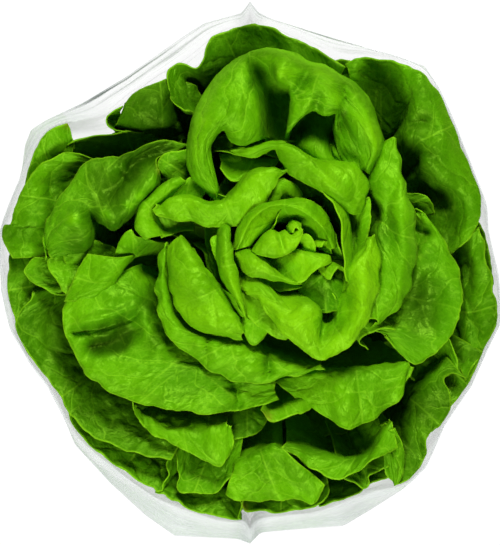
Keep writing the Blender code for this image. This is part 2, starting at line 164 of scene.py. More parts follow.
LEAVES = {
    # Outer leaves
    "outer_top": leaf(
        12, 0.85,
        [(-22, 73, 68), (-25, 76), (-28, 82, 67), (-30, 89, 66), (-29, 92), (-26, 92, 67), (-22, 91, 68),
         (-15, 93), (-10, 97), (-5, 99), (0, 100), (6, 100), (14, 97, 69), (26, 90, 70), (38, 84, 72)],
        [(-28, 77, 78), (-34, 79, 79), (-38.5, 85, 78), (-40, 92, 77), (-38, 98.5), (-32, 100.5, 78),
         (-26, 98.5, 79), (-22, 103, 78), (-20, 111, 77), (-12, 116), (-2, 119, 76), (8, 118.5),
         (18, 114, 77), (32, 107, 78), (46, 99, 80)],
        folds=[([(-26, 98), (-22, 88), (-16, 78)], 5, 2), ([(-8, 118), (-2, 100)], 7, 3)],
        shades=[(-27, 91, 5, 0.55), (-21, 93, 5, 0.5), (-15, 98, 5, 0.3)],
        ruffle=0.4,
    ),
    "outer_top_left": leaf(
        13, 1.0,
        [(-65, 69, 64), (-57, 66, 66), (-49, 65, 68), (-41, 65, 70), (-33, 66, 66), (-22, 70, 60)],
        [(-64, 71.5, 76), (-56.5, 72, 81), (-48.5, 72, 84), (-40.5, 72.5), (-33, 74, 76), (-22, 76, 64)],
        [(-62.5, 76, 79), (-56.5, 79, 85), (-49, 81.5, 87), (-41, 82.5, 85), (-34, 83, 76),
         (-22, 82, 66)],
        [(-60, 81, 80), (-55, 86), (-48, 90), (-42, 92.5, 79), (-36, 93, 74), (-26, 90, 68)],
        folds=[([(-37, 92), (-33, 78), (-30, 68)], 3.5, 8)],
        shades=[(-37, 82, 4, 0.6), (-32, 72, 5, 0.7)],
        pucker=0.5, ruffle=0.6,
    ),
    "outer_top_left_roll": leaf(
        13, 0.75,
        [(-60, 66.5, 66), (-63.5, 68.5), (-66, 71), (-66.5, 73.5), (-65, 75), (-62, 75.5, 68)],
        [(-59, 67.5, 77), (-64.5, 68.3), (-68.5, 71), (-69, 74.5, 78), (-65.5, 77.3, 80), (-61, 80)],
        pucker=0.2, ruffle=0.15,
    ),
    "outer_left_strip": leaf(
        14, 0.8,
        [(-85, 57, 56), (-72, 58), (-58, 59, 57), (-44, 60, 58), (-32, 61, 60)],
        [(-88, 60.5, 74), (-84, 63.8, 76), (-71, 65.8, 77), (-58, 67.6), (-46, 66.5, 72), (-33, 65, 62)],
        pucker=0.3, ruffle=0.3,
    ),
    "outer_left_top": leaf(
        12, 0.62,
        [(-85, 55, 70), (-87, 56), (-89, 57), (-91, 57), (-93, 56), (-95, 54), (-96, 50, 69),
         (-97, 46, 68), (-97, 42), (-97, 38)],
        [(-84, 61, 73), (-85.5, 65, 74), (-88, 71.8, 76), (-91, 70.6, 77), (-94, 70), (-98, 68),
         (-102, 62, 75), (-105, 54, 74), (-107.5, 46, 73), (-108, 40, 72)],
        brown=[(-88, 71.5, 2)],
        pucker=0.6, ruffle=0.3,
    ),
    "outer_left": leaf(
        14, 0.6,
        [(-82, 57.5, 80), (-92, 56.5), (-100, 52, 79), (-106, 46, 78), (-110.5, 37), (-114, 28, 79),
         (-115, 23, 80), (-118.5, 22.5, 81), (-119.5, 18), (-117, 12, 79), (-114, 7, 77)],
        swells=[(-102, 26, 10, 4)],
        folds=[([(-95, 42), (-93, 26), (-98, 14)], 5, 6)],
        inset=24, dip=7,
    ),
    "outer_left_low": leaf(
        11, 0.8,
        [(-110, 13, 70), (-114.8, 9, 71), (-116, 2), (-117.5, -6), (-116, -13), (-113.5, -20),
         (-112, -27, 70), (-108, -33, 69)],
        inset=22, dip=7,
    ),
    "tongue_left": leaf(
        17, 0.6,
        [(-103, 7, 79), (-109, 1, 78), (-105, -4), (-98, -8.5, 79), (-90, -11, 80), (-84, -12)],
        inset=16, dip=4,
    ),
    "tongue_left_inner": leaf(
        19, 0.55,
        [(-88, 9, 85), (-97, 6.5), (-95, -1), (-91, -7), (-86, -12)],
        inset=14, dip=4,
    ),
    "outer_low_left": leaf(
        10, 0.9,
        [(-104, -9, 73), (-107, -15, 74), (-111, -20), (-113, -25, 75), (-111.5, -31), (-108, -38),
         (-103, -44), (-97, -51.5), (-91, -60, 76), (-86, -68.5, 77), (-79, -76, 78), (-70, -81, 79),
         (-62, -84.5, 80), (-55, -87, 81), (-46, -88.5), (-38, -90.5, 80)],
        swells=[(-102, -25, 9, 4)],
        inset=34, dip=16,
    ),
    "outer_bottom_left": leaf(
        10, 0.7,
        [(-88, -64, 73), (-84.5, -74, 74), (-79.5, -81), (-70.5, -88.5), (-60, -96), (-50, -101.5),
         (-46.5, -103.5), (-45, -106), (-42, -105), (-40, -97, 75), (-38.5, -89)],
        inset=24, dip=16,
    ),
    "bottom_olive": leaf(
        8, 0.85,
        [(-46, -106, 73), (-38, -108), (-30, -114), (-20, -116), (-12, -118.5), (-5.5, -120), (-5, -112),
         (-7, -105)],
        ribs=[[(-27, -112), (-15, -110), (-7, -109)]],
        inset=13, dip=9,
    ),
    "bottom_square": leaf(
        15, 0.62,
        [(-35.5, -86, 76), (-34.5, -95, 77), (-33.5, -105, 76), (-27, -106), (-18, -106), (-13, -102, 77),
         (-7, -97, 78)],
        inset=24, dip=5,
    ),
    "bottom_bright": leaf(
        18, 0.5,
        [(-9, -90, 70), (-2, -86), (4, -83.5, 71), (9, -82, 72), (12, -81.5, 73), (16, -82)],
        [(-8, -93, 81), (-2, -91, 83), (4, -88, 84), (9, -85.5, 86), (12, -84, 87), (16, -84.5, 86)],
        [(-12, -107, 78), (-4, -109.6, 79), (10, -109.6), (24, -109), (31, -111), (36, -102, 82)],
        folds=[([(14, -90), (24, -108)], 4, 2)],
        pucker=0.7,
    ),
    "bottom_filler": leaf(
        12, 0.9,
        [(-14, -66, 74), (-6, -65, 76), (2, -66), (9, -69, 74)],
        [(-12, -80, 77), (-5, -80, 78), (1, -78, 77), (6, -75, 74)],
        ruffle=0.3,
    ),
    "bottom_under": leaf(
        8, 0.85,
        [(-3, -106, 74), (-4, -111), (-2, -114), (4, -114.3), (12, -115.5), (22, -114.6), (32, -112),
         (36, -110), (37, -104)],
        brown=[(-3, -112, 2)],
        inset=11, dip=7,
    ),
    "bottom_right": leaf(
        18, 0.58,
        [(18, -79, 72), (25, -81, 68), (33, -84, 66), (42, -86, 65), (50, -86, 66), (55, -82, 70),
         (59, -77, 74), (63, -73, 78), (66, -71, 80)],
        [(17, -81.5, 82), (24, -84, 81), (32, -87.5, 80), (41, -90.5, 79), (50, -90.5), (57, -85, 82),
         (61, -80, 84), (65, -75.5, 86), (68, -72)],
        [(15, -84, 84), (22, -88.5), (30, -94.5), (38, -98), (44, -99.5), (50, -96.5, 85),
         (57, -91.5, 86), (64, -88, 88), (71, -84)],
        pucker=0.6,
    ),
    "bottom_right_tip": leaf(
        17, 0.62,
        [(64, -82, 84), (66, -84), (68, -88, 83), (69, -90), (70, -86, 84), (69, -80, 85), (66, -75)],
        [(64, -88, 82), (65.5, -96, 79), (68, -100, 78), (70, -103.5, 77), (73.5, -94, 79),
         (74.5, -87, 82), (69.5, -74.5, 86)],
    ),
    "bottom_right_under": leaf(
        14, 0.8,
        [(43, -97, 80), (49, -101, 79), (55, -103.8), (57.5, -101), (58, -97.5, 80), (61, -95.5),
         (67, -94)],
        shades=[(60, -91, 4, 0.5)],
        inset=10, dip=5,
    ),
    "bottom_right_low": leaf(
        9, 0.9,
        [(33, -112.5, 74), (42, -110.3), (50, -106.8), (58, -102.2, 75), (65.5, -97.8, 76), (74, -92.5)],
        inset=9, dip=11,
    ),
    "outer_right_low": leaf(
        11, 0.92,
        [(58, -80, 66), (62, -74, 64), (66, -69, 63), (69, -65, 62), (72, -60), (75, -56), (78, -52, 63),
         (82, -48, 65), (86, -44, 67), (90, -40, 69)],
        [(67, -92, 73), (71, -84), (74, -77, 74), (77, -71, 75), (80, -64, 76), (83, -58, 78),
         (85.5, -52, 80), (88, -48, 81), (91.5, -44, 82), (95, -41)],
        [(70, -103, 76), (78, -99, 77), (83, -91), (84.5, -84, 78), (85.5, -78), (91.5, -73.5, 79),
         (96, -66, 80), (96, -57, 82), (93, -51, 83), (97.5, -48), (104, -51.5, 82)],
        shades=[(80, -66, 8, 0.3), (72, -84, 7, 0.25)],
        pucker=0.7,
    ),
    "outer_right_under": leaf(
        9, 0.9,
        [(94, -68, 76), (100, -61), (105, -54, 77), (109, -46, 78), (112, -38)],
        inset=18, dip=6,
    ),
    "outer_right": leaf(
        11, 0.68,
        [(101, 16, 78), (103, 6, 75), (104, -4, 73), (105, -14), (106, -24), (104, -34), (100, -44, 74)],
        [(110, 22, 82), (113, 10, 81), (115, 0, 80), (117, -9, 79), (119, -23, 78), (112, -38, 77),
         (103, -52, 78)],
        folds=[([(104, 10), (105, -8), (108, -30)], 2.5, 3)],
    ),
    "outer_right_sliver": leaf(
        9, 0.9,
        [(109, 27, 76), (113, 18), (116, 4, 75), (117, -6, 74)],
        inset=12, dip=5,
    ),
    "curl_right": leaf(
        16, 0.6,
        [(93, -30, 86), (96, -31), (98.5, -36, 84), (99.5, -42, 83), (99, -48, 82)],
        inset=9, dip=7,
    ),
    "outer_upper_right": leaf(
        13, 0.62,
        [(50, 78, 66), (53, 75, 64), (57, 73, 60), (61, 70, 58), (64, 68), (68, 68, 60), (72.5, 72, 68),
         (73.5, 70, 80), (73, 66, 86), (74.5, 61), (79.5, 54, 74), (80.5, 47, 82), (84, 42.5, 80),
         (86, 34, 71), (86, 27, 72), (86, 20), (88, 15, 71)],
        [(49.5, 85, 76), (52, 83, 74), (56, 81, 68), (60, 79, 65), (63, 78, 64), (68, 77.5, 65),
         (75.3, 80.5, 78), (76.8, 77.5, 87), (80, 72.5, 92), (80, 66), (82, 59.5, 90), (83, 51.5),
         (88.5, 45.5, 88), (93, 36.5, 73), (92, 27, 76), (91, 19), (91, 13)],
        [(48.5, 91, 82), (51, 90.5), (55, 90, 75), (59, 89.5, 71), (63, 89, 70), (69, 87.5, 71),
         (75.7, 85, 84), (78.5, 81, 92), (82.5, 75.5, 93), (85.5, 69), (87, 61), (89.5, 51),
         (94, 43.8, 90), (99, 38, 84), (99, 26, 77), (96, 17, 76), (93.5, 11, 78)],
        [(47.5, 96.5, 84), (50.5, 97.5, 85), (54.5, 98, 82), (58.5, 98, 79), (63, 97.5, 78),
         (69.5, 96.5, 79), (75.5, 92.5, 85), (81, 88, 91), (86.5, 82, 92), (91, 73, 91), (94.5, 63.5),
         (98, 52.5), (103, 44, 89), (105, 34, 86), (104, 24, 84), (100, 16, 82), (95, 10, 81)],
        [(45.5, 100, 82), (49, 102.3, 83), (54, 103.3, 83.5), (58.5, 103.3, 84), (63, 102), (70, 101, 85),
         (77, 98.8, 86), (84, 94.5), (90, 87), (95.5, 76.5), (99.5, 65.5), (104.5, 53), (109, 43, 85),
         (111.3, 33, 84), (109.5, 23), (104, 15), (97, 8.5, 83)],
        swells=[(86.5, 87, 5, 2), (79, 66, 4, 2.5), (85, 54, 3, 2.5), (92, 62, 6, 2), (84, 74, 4, -2.5),
                (94, 45, 4, 1.5), (90, 76, 5, 2)],
        folds=[([(78, 72), (84, 73), (89, 70)], 2, 2.5), ([(81, 58), (87, 57)], 1.8, 2)],
        shades=[(64, 85, 10, 0.2), (85, 75, 4, 0.3), (88, 57, 3, 0.2), (84, 39, 5, 0.4), (91, 38, 4, 0.4),
                (93, 16, 6, 0.35)],
        ribs=[[(62.5, 101), (63, 66)]],
        pucker=0.4, ruffle=0.5,
    ),
    "outer_right_lumps": leaf(
        16, 0.7,
        [(75, 38, 84), (79, 38, 86), (84, 37), (88, 33, 85), (89, 28, 84)],
        swells=[(83, 34, 3, 2)],
        inset=9, dip=4, ruffle=0.4,
    ),
    "outer_top_right_under": leaf(
        8, 0.95,
        [(32, 101, 68), (40, 102, 66), (48, 101.5, 63), (56, 99, 60), (62, 94, 58)],
        inset=22, dip=8,
    ),
    # Middle leaves
    "middle_left": leaf(
        22, 0.64,
        [(-41, 44, 84), (-44, 40, 85), (-49, 34.5, 86), (-54.5, 28.5, 84), (-60, 25, 80), (-65.5, 23, 77),
         (-70, 25, 75), (-74.5, 26.5, 80), (-75, 18, 83), (-79, 11.5, 82), (-88, 9.5, 84),
         (-94, 7.5, 85)],
        [(-43, 45.5, 92), (-44.5, 41, 95), (-49, 35.5, 96), (-55.5, 29, 97), (-60, 24.5),
         (-65.5, 20.8, 96), (-70, 23, 93), (-74.8, 25.5, 85), (-75, 17.5, 91), (-79, 11, 89),
         (-88, 9, 88), (-95, 7, 86)],
        [(-43.5, 49, 98), (-46, 43.5, 101.5), (-51, 38, 102.5), (-57.5, 32, 103), (-62, 28, 102.5),
         (-66.5, 25, 101.5), (-71, 27, 98), (-76, 29, 92), (-78, 21.5, 97.5), (-82, 16, 96),
         (-90.5, 13, 92), (-96.5, 9, 87)],
        [(-44.5, 51, 97), (-50, 47, 99), (-56, 42), (-61, 37.5), (-65, 33.5), (-69, 31, 98.5),
         (-73.5, 31.5, 97), (-78, 31, 95), (-83, 27, 99), (-88.5, 22.5, 98), (-94, 17, 92.5),
         (-97.5, 11, 87)],
        [(-44, 54.5, 90), (-54, 52, 88), (-59.5, 46.5), (-63.5, 42.5, 90.5), (-67.5, 40, 92.5),
         (-71.5, 38, 94), (-75.5, 37), (-80, 35), (-85, 31, 97), (-90.5, 26, 95.5), (-95.5, 19, 91.5),
         (-98, 12, 87)],
        [(-37, 57.5, 86), (-50, 57, 87), (-60, 52.5, 90), (-65, 49, 93.5), (-70, 46.5, 94.5), (-75, 43.5),
         (-79.5, 41, 93.5), (-84, 38, 93), (-89, 33.5, 94), (-93.5, 27.5, 93), (-97, 20.5, 91),
         (-98.7, 13, 87)],
        [(-29, 61.5, 84), (-44, 63.5, 87), (-57, 58, 88.5), (-63, 55.8, 89.5), (-68, 55.5, 90),
         (-75, 54.3), (-81, 51.5), (-85, 45), (-91, 36.5), (-96, 28, 89.5), (-99.3, 17, 88.5),
         (-97.5, 6.3, 86)],
        swells=[(-69.5, 27.5, 3, 2), (-65, 24, 3, 2), (-48, 50, 3, 1.5), (-84, 25, 4, 2),
                (-80, 19.5, 4, 2), (-58, 33, 5, 2), (-51, 40, 4, 1.5)],
        folds=[([(-61.5, 52), (-58, 45.5)], 1.3, -3), ([(-87, 21.5), (-79, 22)], 1.5, 2)],
        shades=[(-85, 25.5, 3, -0.6), (-69.5, 27.5, 2.5, -0.6), (-53, 36.5, 2.5, -0.6),
                (-58, 32, 2.5, -0.6), (-64, 41, 8, 0.35), (-55, 46, 4, 0.3), (-50, 57, 9, 0.6),
                (-57, 49.5, 5, 0.4), (-72, 44, 8, 0.25), (-84, 12, 5, 0.3), (-48, 36, 3, 0.3),
                (-74, 50, 6, 0.2), (-60, 57, 5, 0.4), (-42, 59, 7, 0.6)],
        brown=[(-42, 49, 2.5)],
        ribs=[[(-86, 35), (-82, 35), (-76, 31.5), (-68, 31), (-60, 32.5), (-53, 33)], [(-79, 47),
              (-75, 38), (-73, 32)], [(-72, 54), (-68, 46), (-66, 38)]],
        pucker=0.35, ruffle=0.5,
    ),
    "curl_left_back": leaf(
        25, 0.5,
        [(-38, 33, 94), (-31, 32), (-24, 33)],
        [(-37.5, 36, 97), (-33, 41.5, 98), (-29, 46), (-25, 45, 97), (-21.5, 38, 96)],
        pucker=0.4, ruffle=0.3,
    ),
    "middle_left_back": leaf(
        24, 0.75,
        [(-24, 52, 88), (-26, 50), (-29, 48), (-31, 45), (-30, 42, 87), (-29, 40, 86)],
        [(-29, 60, 92), (-35, 58.5, 93), (-41, 57), (-44.5, 52), (-42, 47, 92), (-37, 42.5, 90)],
        pucker=0.7, ruffle=0.4,
    ),
    "middle_left_low": leaf(
        20, 0.55,
        [(-62, 8, 83), (-70, 7, 84), (-78, 6, 85), (-88, 4)],
        [(-65, 12, 85), (-70, 14, 86), (-76, 15.5, 87), (-83, 12), (-90, 8.5, 86)],
        pucker=0.8, ruffle=0.4,
    ),
    "middle_low_left": leaf(
        22, 0.4,
        [(-57.5, 8, 92), (-61, 3, 93), (-65, -3), (-70, -9, 92), (-76, -15, 90)],
        [(-64, 7.3, 94), (-68, 2, 95), (-72, -4), (-77, -9, 94), (-82, -14, 92)],
        [(-78, 9, 91), (-81, 5), (-84, -1, 90.5), (-86.5, -7, 90), (-89, -14, 89)],
        pucker=0.6, ruffle=0.3,
    ),
    "middle_bottom_left": leaf(
        21, 0.5,
        [(-58, 2, 86), (-52, -10, 87), (-46, -20, 88), (-40, -30, 90), (-30, -38, 91), (-20, -42),
         (-10, -46), (-2, -49), (6, -51), (12, -53)],
        [(-74, -8, 92), (-70, -18, 93), (-66, -27, 92), (-60, -38), (-48, -46, 94), (-36, -50, 95),
         (-22, -54), (-10, -56, 94), (2, -57, 92), (12, -57, 91)],
        [(-88, -12, 89), (-90, -23), (-86, -35), (-79, -48), (-66, -58), (-52, -63), (-34, -66.5, 90),
         (-16, -67.5), (0, -65), (14, -61)],
        swells=[(-66, -12, 5, 2.5), (-46, -55, 10, 3), (-22, -56, 8, 2.5), (-80, -17, 4, 2),
                (-56, -10, 5, 2.5), (-74, -48, 8, 2.5), (-42, -35, 4, 2.5), (-52, -22, 2.5, 2)],
        folds=[([(-76, -35.5), (-66, -33.5), (-57, -28)], 4, 8), ([(-84, -29), (-70, -26.5), (-55, -21)],
               2.4, 6), ([(-82, -24), (-68, -21), (-56, -17)], 2.4, -3.5), ([(-50, -19), (-49, -30),
               (-44, -40)], 3.5, -3), ([(-7.5, -52), (-5, -66)], 2, 3.5)],
        shades=[(-79, -28.5, 3.5, 0.4), (-71, -26.5, 3.5, 0.5), (-62, -24, 3.5, 0.5),
                (-74, -35.5, 4, 1.1), (-67, -34, 5, 1.2), (-60, -30, 4, 1.1), (-62, -35, 3.5, 0.6),
                (-49, -14, 6, 0.4), (-46, -33, 5, 0.25)],
        ribs=[[(-36, -43), (-60, -43.5), (-72, -41)], [(-36, -43), (-30, -37)], [(-36, -43), (-34, -58)],
              [(-36, -43), (-48, -53), (-52, -60)], [(-36, -43), (-20, -50), (-8, -60)]],
        pucker=0.6,
    ),
    "curl_left": leaf(
        26, 0.32,
        [(-31, 44, 98), (-35, 39.5, 97), (-39, 35.5), (-43, 33), (-45.5, 30, 96), (-44, 26, 93),
         (-42, 21, 91), (-39, 18, 92)],
        [(-31.5, 44.5, 100), (-36.5, 41.5, 101), (-41, 37.5, 101.5), (-45.5, 34, 102), (-48.5, 30, 101.5),
         (-48, 25.5, 100), (-46, 21, 99), (-43.5, 17.5, 97.5)],
        [(-33, 45.5, 100.5), (-38, 44, 101), (-43, 40, 101.5), (-47.5, 36, 102), (-51, 32.5, 102.3),
         (-52.5, 27.5, 101.5), (-52.5, 21.5, 100), (-48.5, 16.5, 98)],
        [(-33.5, 46, 98), (-38.5, 44.8), (-43.7, 40.8), (-48.3, 36.8), (-52.3, 33.5), (-54.3, 28),
         (-55.5, 21.2, 97), (-50, 16, 96)],
        ribs=[[(-36, 42), (-46, 34), (-50, 25)]],
        pucker=0.15, ruffle=0.2,
    ),
    "curl_left_low": leaf(
        26, 0.42,
        [(-66, 6, 88), (-61, 7), (-56, 9.5), (-50, 12.5, 89), (-45, 15, 90)],
        [(-64.5, 10, 92), (-60, 12, 94.5), (-56, 13, 93.5), (-51, 14, 92), (-46, 15)],
        [(-63, 14, 93), (-60.5, 19, 95), (-57, 20.8, 95.5), (-55, 18, 95), (-50, 16.5, 94)],
        shades=[(-50, 14, 4, 0.35)],
        pucker=0.2, ruffle=0.2,
    ),
    "curl_left_point": leaf(
        27, 0.5,
        [(-47, 30, 94), (-42, 28, 93), (-35, 27, 92), (-27, 26)],
        [(-45, 22, 92), (-40, 21, 91), (-34, 22), (-27, 23, 92)],
        [(-42.5, 16.3, 96), (-38.5, 18), (-34, 19.2), (-27, 20.5, 95.5)],
        pucker=0.4, ruffle=0.3,
    ),
    "hood": leaf(
        24, 0.4,
        [(-17, 35, 97), (-26, 44), (-30, 54, 98), (-29, 66, 99), (-25, 80, 100), (-17, 92.5), (-9, 100.5),
         (-3, 104), (2, 106), (8, 107.3), (15, 106.7, 101), (22, 104.5), (28, 101), (36, 99.5), (43, 95),
         (50, 91), (56, 84), (61, 72, 100), (64, 60, 98), (57, 47, 97)],
        [(-16.2, 35.3, 100), (-24.5, 45, 104), (-27.5, 54, 106), (-26, 66, 109), (-21, 78, 112),
         (-13.5, 89, 113), (-7, 96, 112.5), (-3, 99.5, 110), (3.5, 100.5, 102), (8.5, 102, 108),
         (15, 102, 112.5), (21, 99, 113), (27, 96.5, 112), (35, 95.5, 113), (41, 91.5, 113.5),
         (47.5, 87, 112), (53, 80.5, 111), (57.5, 70, 110), (60, 59.5, 107), (56, 48, 102)],
        [(-15.8, 36, 101), (-22, 46, 106), (-24.5, 54, 108.5), (-22.5, 65, 112.5), (-15.5, 74.5, 116),
         (-9, 83), (-5, 89, 115), (-1, 93, 112.5), (5, 93.5, 92), (11.5, 93.5), (13, 93.5, 112.5),
         (20, 92.5, 113), (25.5, 90, 111.5), (33, 91, 115), (39, 87.5), (44.5, 82, 112), (50, 75, 110.5),
         (54, 66, 108.5), (56, 57, 104), (54.5, 49, 102)],
        [(-15.6, 37, 101), (-20, 46.5, 106), (-22, 54, 108.5), (-21, 62, 111.5), (-14, 71, 115.5),
         (-7, 75, 117), (-3, 80, 116), (2, 84, 113), (8, 84, 86), (13, 84, 80), (21, 84.5, 84),
         (19.6, 84.5, 109), (25, 83.5, 114.5), (31, 84, 115), (37, 81.5, 116), (42.5, 78.5, 114),
         (46, 73, 107), (50, 63, 105), (52, 55, 101), (53, 49, 101.5)],
        [(-15.3, 38, 100.5), (-18, 47, 105), (-20, 55, 107.5), (-19.5, 61, 110), (-13.5, 69, 113),
         (-7, 66.5, 115.5), (-2, 67, 115), (4, 71, 112), (9.5, 74, 82), (14, 74, 77), (21, 75, 80),
         (19, 75.5, 108), (24.5, 76, 113.5), (30.5, 80.5), (36, 77, 114.5), (43, 79, 112), (43, 72, 102),
         (46, 61, 101), (48, 54, 99), (52, 49, 101)],
        [(-15, 38.5, 99.5), (-16.8, 47, 103.5), (-18.6, 55, 106), (-19, 60.5, 108), (-12.7, 69, 110),
         (-8.5, 63, 112), (-3, 61.5), (3.5, 64, 110), (9.7, 66, 82), (13.5, 65.5, 77), (19.5, 65, 79),
         (17.3, 65, 105), (23, 73, 110), (30, 77.5, 109), (36, 75.3, 111), (41.5, 76.5, 109),
         (40, 69, 95), (43, 58, 99), (46, 53), (51, 48.5, 100.5)],
        [(-15.2, 38.7, 98.8), (-17.4, 47, 102), (-19.3, 55, 104.5), (-19.8, 60.8, 106.5),
         (-13.1, 69.8, 108), (-8.8, 64, 109.5), (-3, 62.5), (3.3, 65, 107), (10, 64, 79), (13, 63, 77),
         (18, 64, 78), (20, 68, 82), (25.5, 74.5, 81), (31, 79, 80), (35.5, 76.5, 81), (41, 76.5, 84),
         (41.5, 68, 82), (42, 58, 97), (45, 53, 98), (50.5, 48.3, 99.5)],
        [(-15.5, 39, 98), (-18, 47, 101), (-20, 55, 103), (-20.5, 61, 105), (-13.5, 70.5, 106),
         (-9, 65, 107), (-3, 64), (3, 66, 105), (9.5, 62, 78), (12.5, 60, 77), (16, 59, 80),
         (20, 60.5, 87), (25.5, 61.5, 97), (31, 62, 98.5), (35.5, 61.5, 97.5), (38.5, 62, 90), (39, 60),
         (40, 57.5, 98), (44, 53), (50, 48, 99)],
        [(-16.5, 39.5, 97), (-19, 47, 99), (-21, 55, 101), (-21.5, 61, 103), (-14.5, 71.5),
         (-10, 66.5, 104), (-3, 66), (3, 68, 102), (9, 60, 76), (12, 57.5, 77), (16, 57, 80),
         (20, 58, 88), (25, 57.5, 94), (30, 54.5, 97), (35, 53, 99), (39, 52.5, 99.5), (41, 53, 98.5),
         (43, 53.5, 98), (46, 51), (50, 47.5, 98.5)],
        swells=[(-7, 78, 4, 2.2), (-16, 75, 4, 2.2), (-2, 70, 3, 1.8), (2, 66, 2.5, 1.5),
                (-5, 64, 2.5, 1.5), (13, 93, 4, 2), (17, 99.5, 5, 1.5), (33, 93, 4, 2.5),
                (39, 91, 3.5, 2.5), (43, 82, 3, 1.5), (28, 82, 3, 1.5), (57, 72, 5, 1.5),
                (37, 55.5, 5, 3)],
        folds=[([(29, 98), (26, 93), (22, 87)], 2, 3.5), ([(45, 88), (46, 83), (45, 77), (43.5, 72)], 1.7,
               6), ([(33.5, 84), (32, 79)], 1.5, 3)],
        shades=[(1, 90, 4, 0.4), (5.5, 96, 4, 0.7), (9, 86, 4.5, 0.5), (12, 78, 5, 0.3), (13, 68, 5, 0.3),
                (25, 68, 4, 0.8), (32, 68, 4, 0.8), (39, 66, 3.5, 0.8), (46, 82, 2.5, 0.6),
                (45, 75, 3, 0.8), (45, 57, 3, 0.4), (26, 93, 3.5, 0.45), (22, 87, 3, 0.4),
                (48, 68, 4, 0.3), (32.5, 81, 2.5, 0.4), (-22, 72, 3, -0.2), (-9, 93, 4, 0.2),
                (-14, 84, 4, 0.15), (32, 84, 3.5, 0.2), (38, 92, 4, -0.3), (15, 97, 5, -0.25),
                (42, 83, 3, -0.25), (33, 97, 3, -0.2), (50, 62, 6, 0.35), (-22, 60, 5, -0.1),
                (58, 68, 8, -0.3), (61, 56, 5, -0.2)],
        ribs=[[(-4, 98), (-4, 90), (-3, 86), (0, 79), (4, 75), (7, 70), (9, 66)], [(33, 95), (31, 89),
              (29, 84), (28, 80)]],
        pucker=0.3, ruffle=0.35,
    ),
    "inner_right": leaf(
        28, 0.5,
        [(64.5, 63, 97), (60.5, 52, 98), (57.5, 46), (57.5, 39.5), (62.5, 32.5, 100), (64, 26, 102),
         (62, 18, 103), (62.5, 8, 105), (62, -4, 106), (58, -14, 105), (55.5, -22, 103)],
        [(67, 64.5, 99), (65, 52, 101), (64, 45, 102), (64.5, 37), (66, 29, 104), (68, 22),
         (68.5, 14, 106.5), (69, 4, 108), (67.5, -6), (63, -15, 106), (60, -22, 102.5)],
        [(69, 65, 99), (70.5, 54, 101), (71.3, 46, 104), (72.3, 38, 107), (73, 29, 109),
         (73.4, 20, 109.5), (74, 11, 109), (74, 2, 108), (72, -8, 107), (67, -17, 104), (61, -24, 101)],
        [(70, 63.5, 97.5), (72.3, 54, 99), (73.3, 46, 100), (76, 37, 101.5), (78.7, 29, 102.5),
         (79.7, 19, 103), (79.7, 9, 102.5), (78.5, 1, 102), (76, -9, 101), (69.5, -19, 100),
         (58, -26, 98.5)],
        swells=[(63, 49, 3.5, 2), (63, 41, 3, 1.5), (66, 36, 3, 1.5)],
        folds=[([(70.5, 43), (67, 35), (65.5, 29)], 1.6, 2.5), ([(65, 23), (66, 18)], 3.5, 4)],
        shades=[(65.5, 20, 4, 0.3)],
        pucker=0.5, ruffle=0.5,
    ),
    "middle_right": leaf(
        22, 0.58,
        [(77, 29, 89), (78, 24), (79, 18, 90), (79, 11, 93), (79, 3, 92), (78.5, -5, 90), (76, -12, 88),
         (73, -18), (69, -21.5, 89), (66, -24, 90), (62, -26, 91), (58, -27)],
        [(79, 30, 91), (83, 25, 92), (84.5, 18, 90), (85, 13, 94.5), (87, 4, 94), (87, -5, 88),
         (86, -14, 86), (83, -21, 87), (78, -27, 89.5), (74, -29, 91.5), (69, -29, 92.5),
         (62, -28.5, 92)],
        [(80, 30.7, 92), (86, 25, 94), (90.5, 17.5), (93, 9, 95), (95, 1.5, 94.5), (95.5, -7, 92.5),
         (95, -16, 91), (92, -26, 90.5), (86, -34), (78, -36.5, 91), (71, -34, 92), (65, -30, 92.5)],
        [(78, 31, 91), (84, 28.3, 93), (90, 19.5), (95.5, 11), (100, 2, 92.5), (101.8, -8, 92),
         (101, -18), (98, -28, 91), (91, -37, 90), (80, -44), (72, -39, 91), (65, -30.5, 93)],
        swells=[(85.5, 14.5, 4, 2)],
        folds=[([(80, 19.5), (85, 19)], 2, 3)],
        shades=[(82, -12, 9, 0.45), (84, -24, 8, 0.4), (75, -3, 7, 0.25), (83, 19.5, 3, 0.4)],
        pucker=0.5, ruffle=0.5,
    ),
    "curl_right_inner": leaf(
        23, 0.5,
        [(70, -27, 95), (62, -28), (55.5, -29.5, 94), (53.5, -33, 93), (56, -38, 91)],
        inset=7, dip=5,
    ),
    "window_leaf": leaf(
        22, 0.42,
        [(13, -51.5, 74), (21, -49, 72), (30, -46.5, 66), (38, -45.5), (45, -46.5, 67), (54, -46),
         (61, -44.5), (69, -43), (76, -42.5, 70)],
        [(12, -52, 82), (20, -50, 86), (30, -48, 91), (38, -47, 92.5), (45, -47.5, 93), (54, -47),
         (61, -45.5, 92.5), (69, -44.5, 91), (76, -43, 90)],
        [(15, -55, 85), (23, -55.5, 88), (32, -55.5, 91), (40, -56, 94), (47, -57.5, 95.5), (55, -57, 95),
         (62, -54, 94), (70, -50, 93), (77, -45, 91)],
        [(22, -61, 85), (29, -64, 87), (36, -69, 88), (42, -73), (49, -75), (57, -71.5), (65, -66),
         (73, -59, 88.5), (77.5, -45, 89)],
        swells=[(42, -54, 6, 2.5), (46, -64, 6, 2), (60, -55, 5, 1.5)],
        shades=[(18, -56, 4, 0.3)],
        ribs=[[(35, -57), (47, -58), (62, -57), (74, -54)], [(47, -58), (52, -47)], [(55, -57),
              (60, -66)]],
        pucker=0.6,
    ),
    "curl_bottom": leaf(
        21, 0.4,
        [(6, -63, 86), (10, -66, 85), (18, -64, 86), (26, -60, 87), (30, -58)],
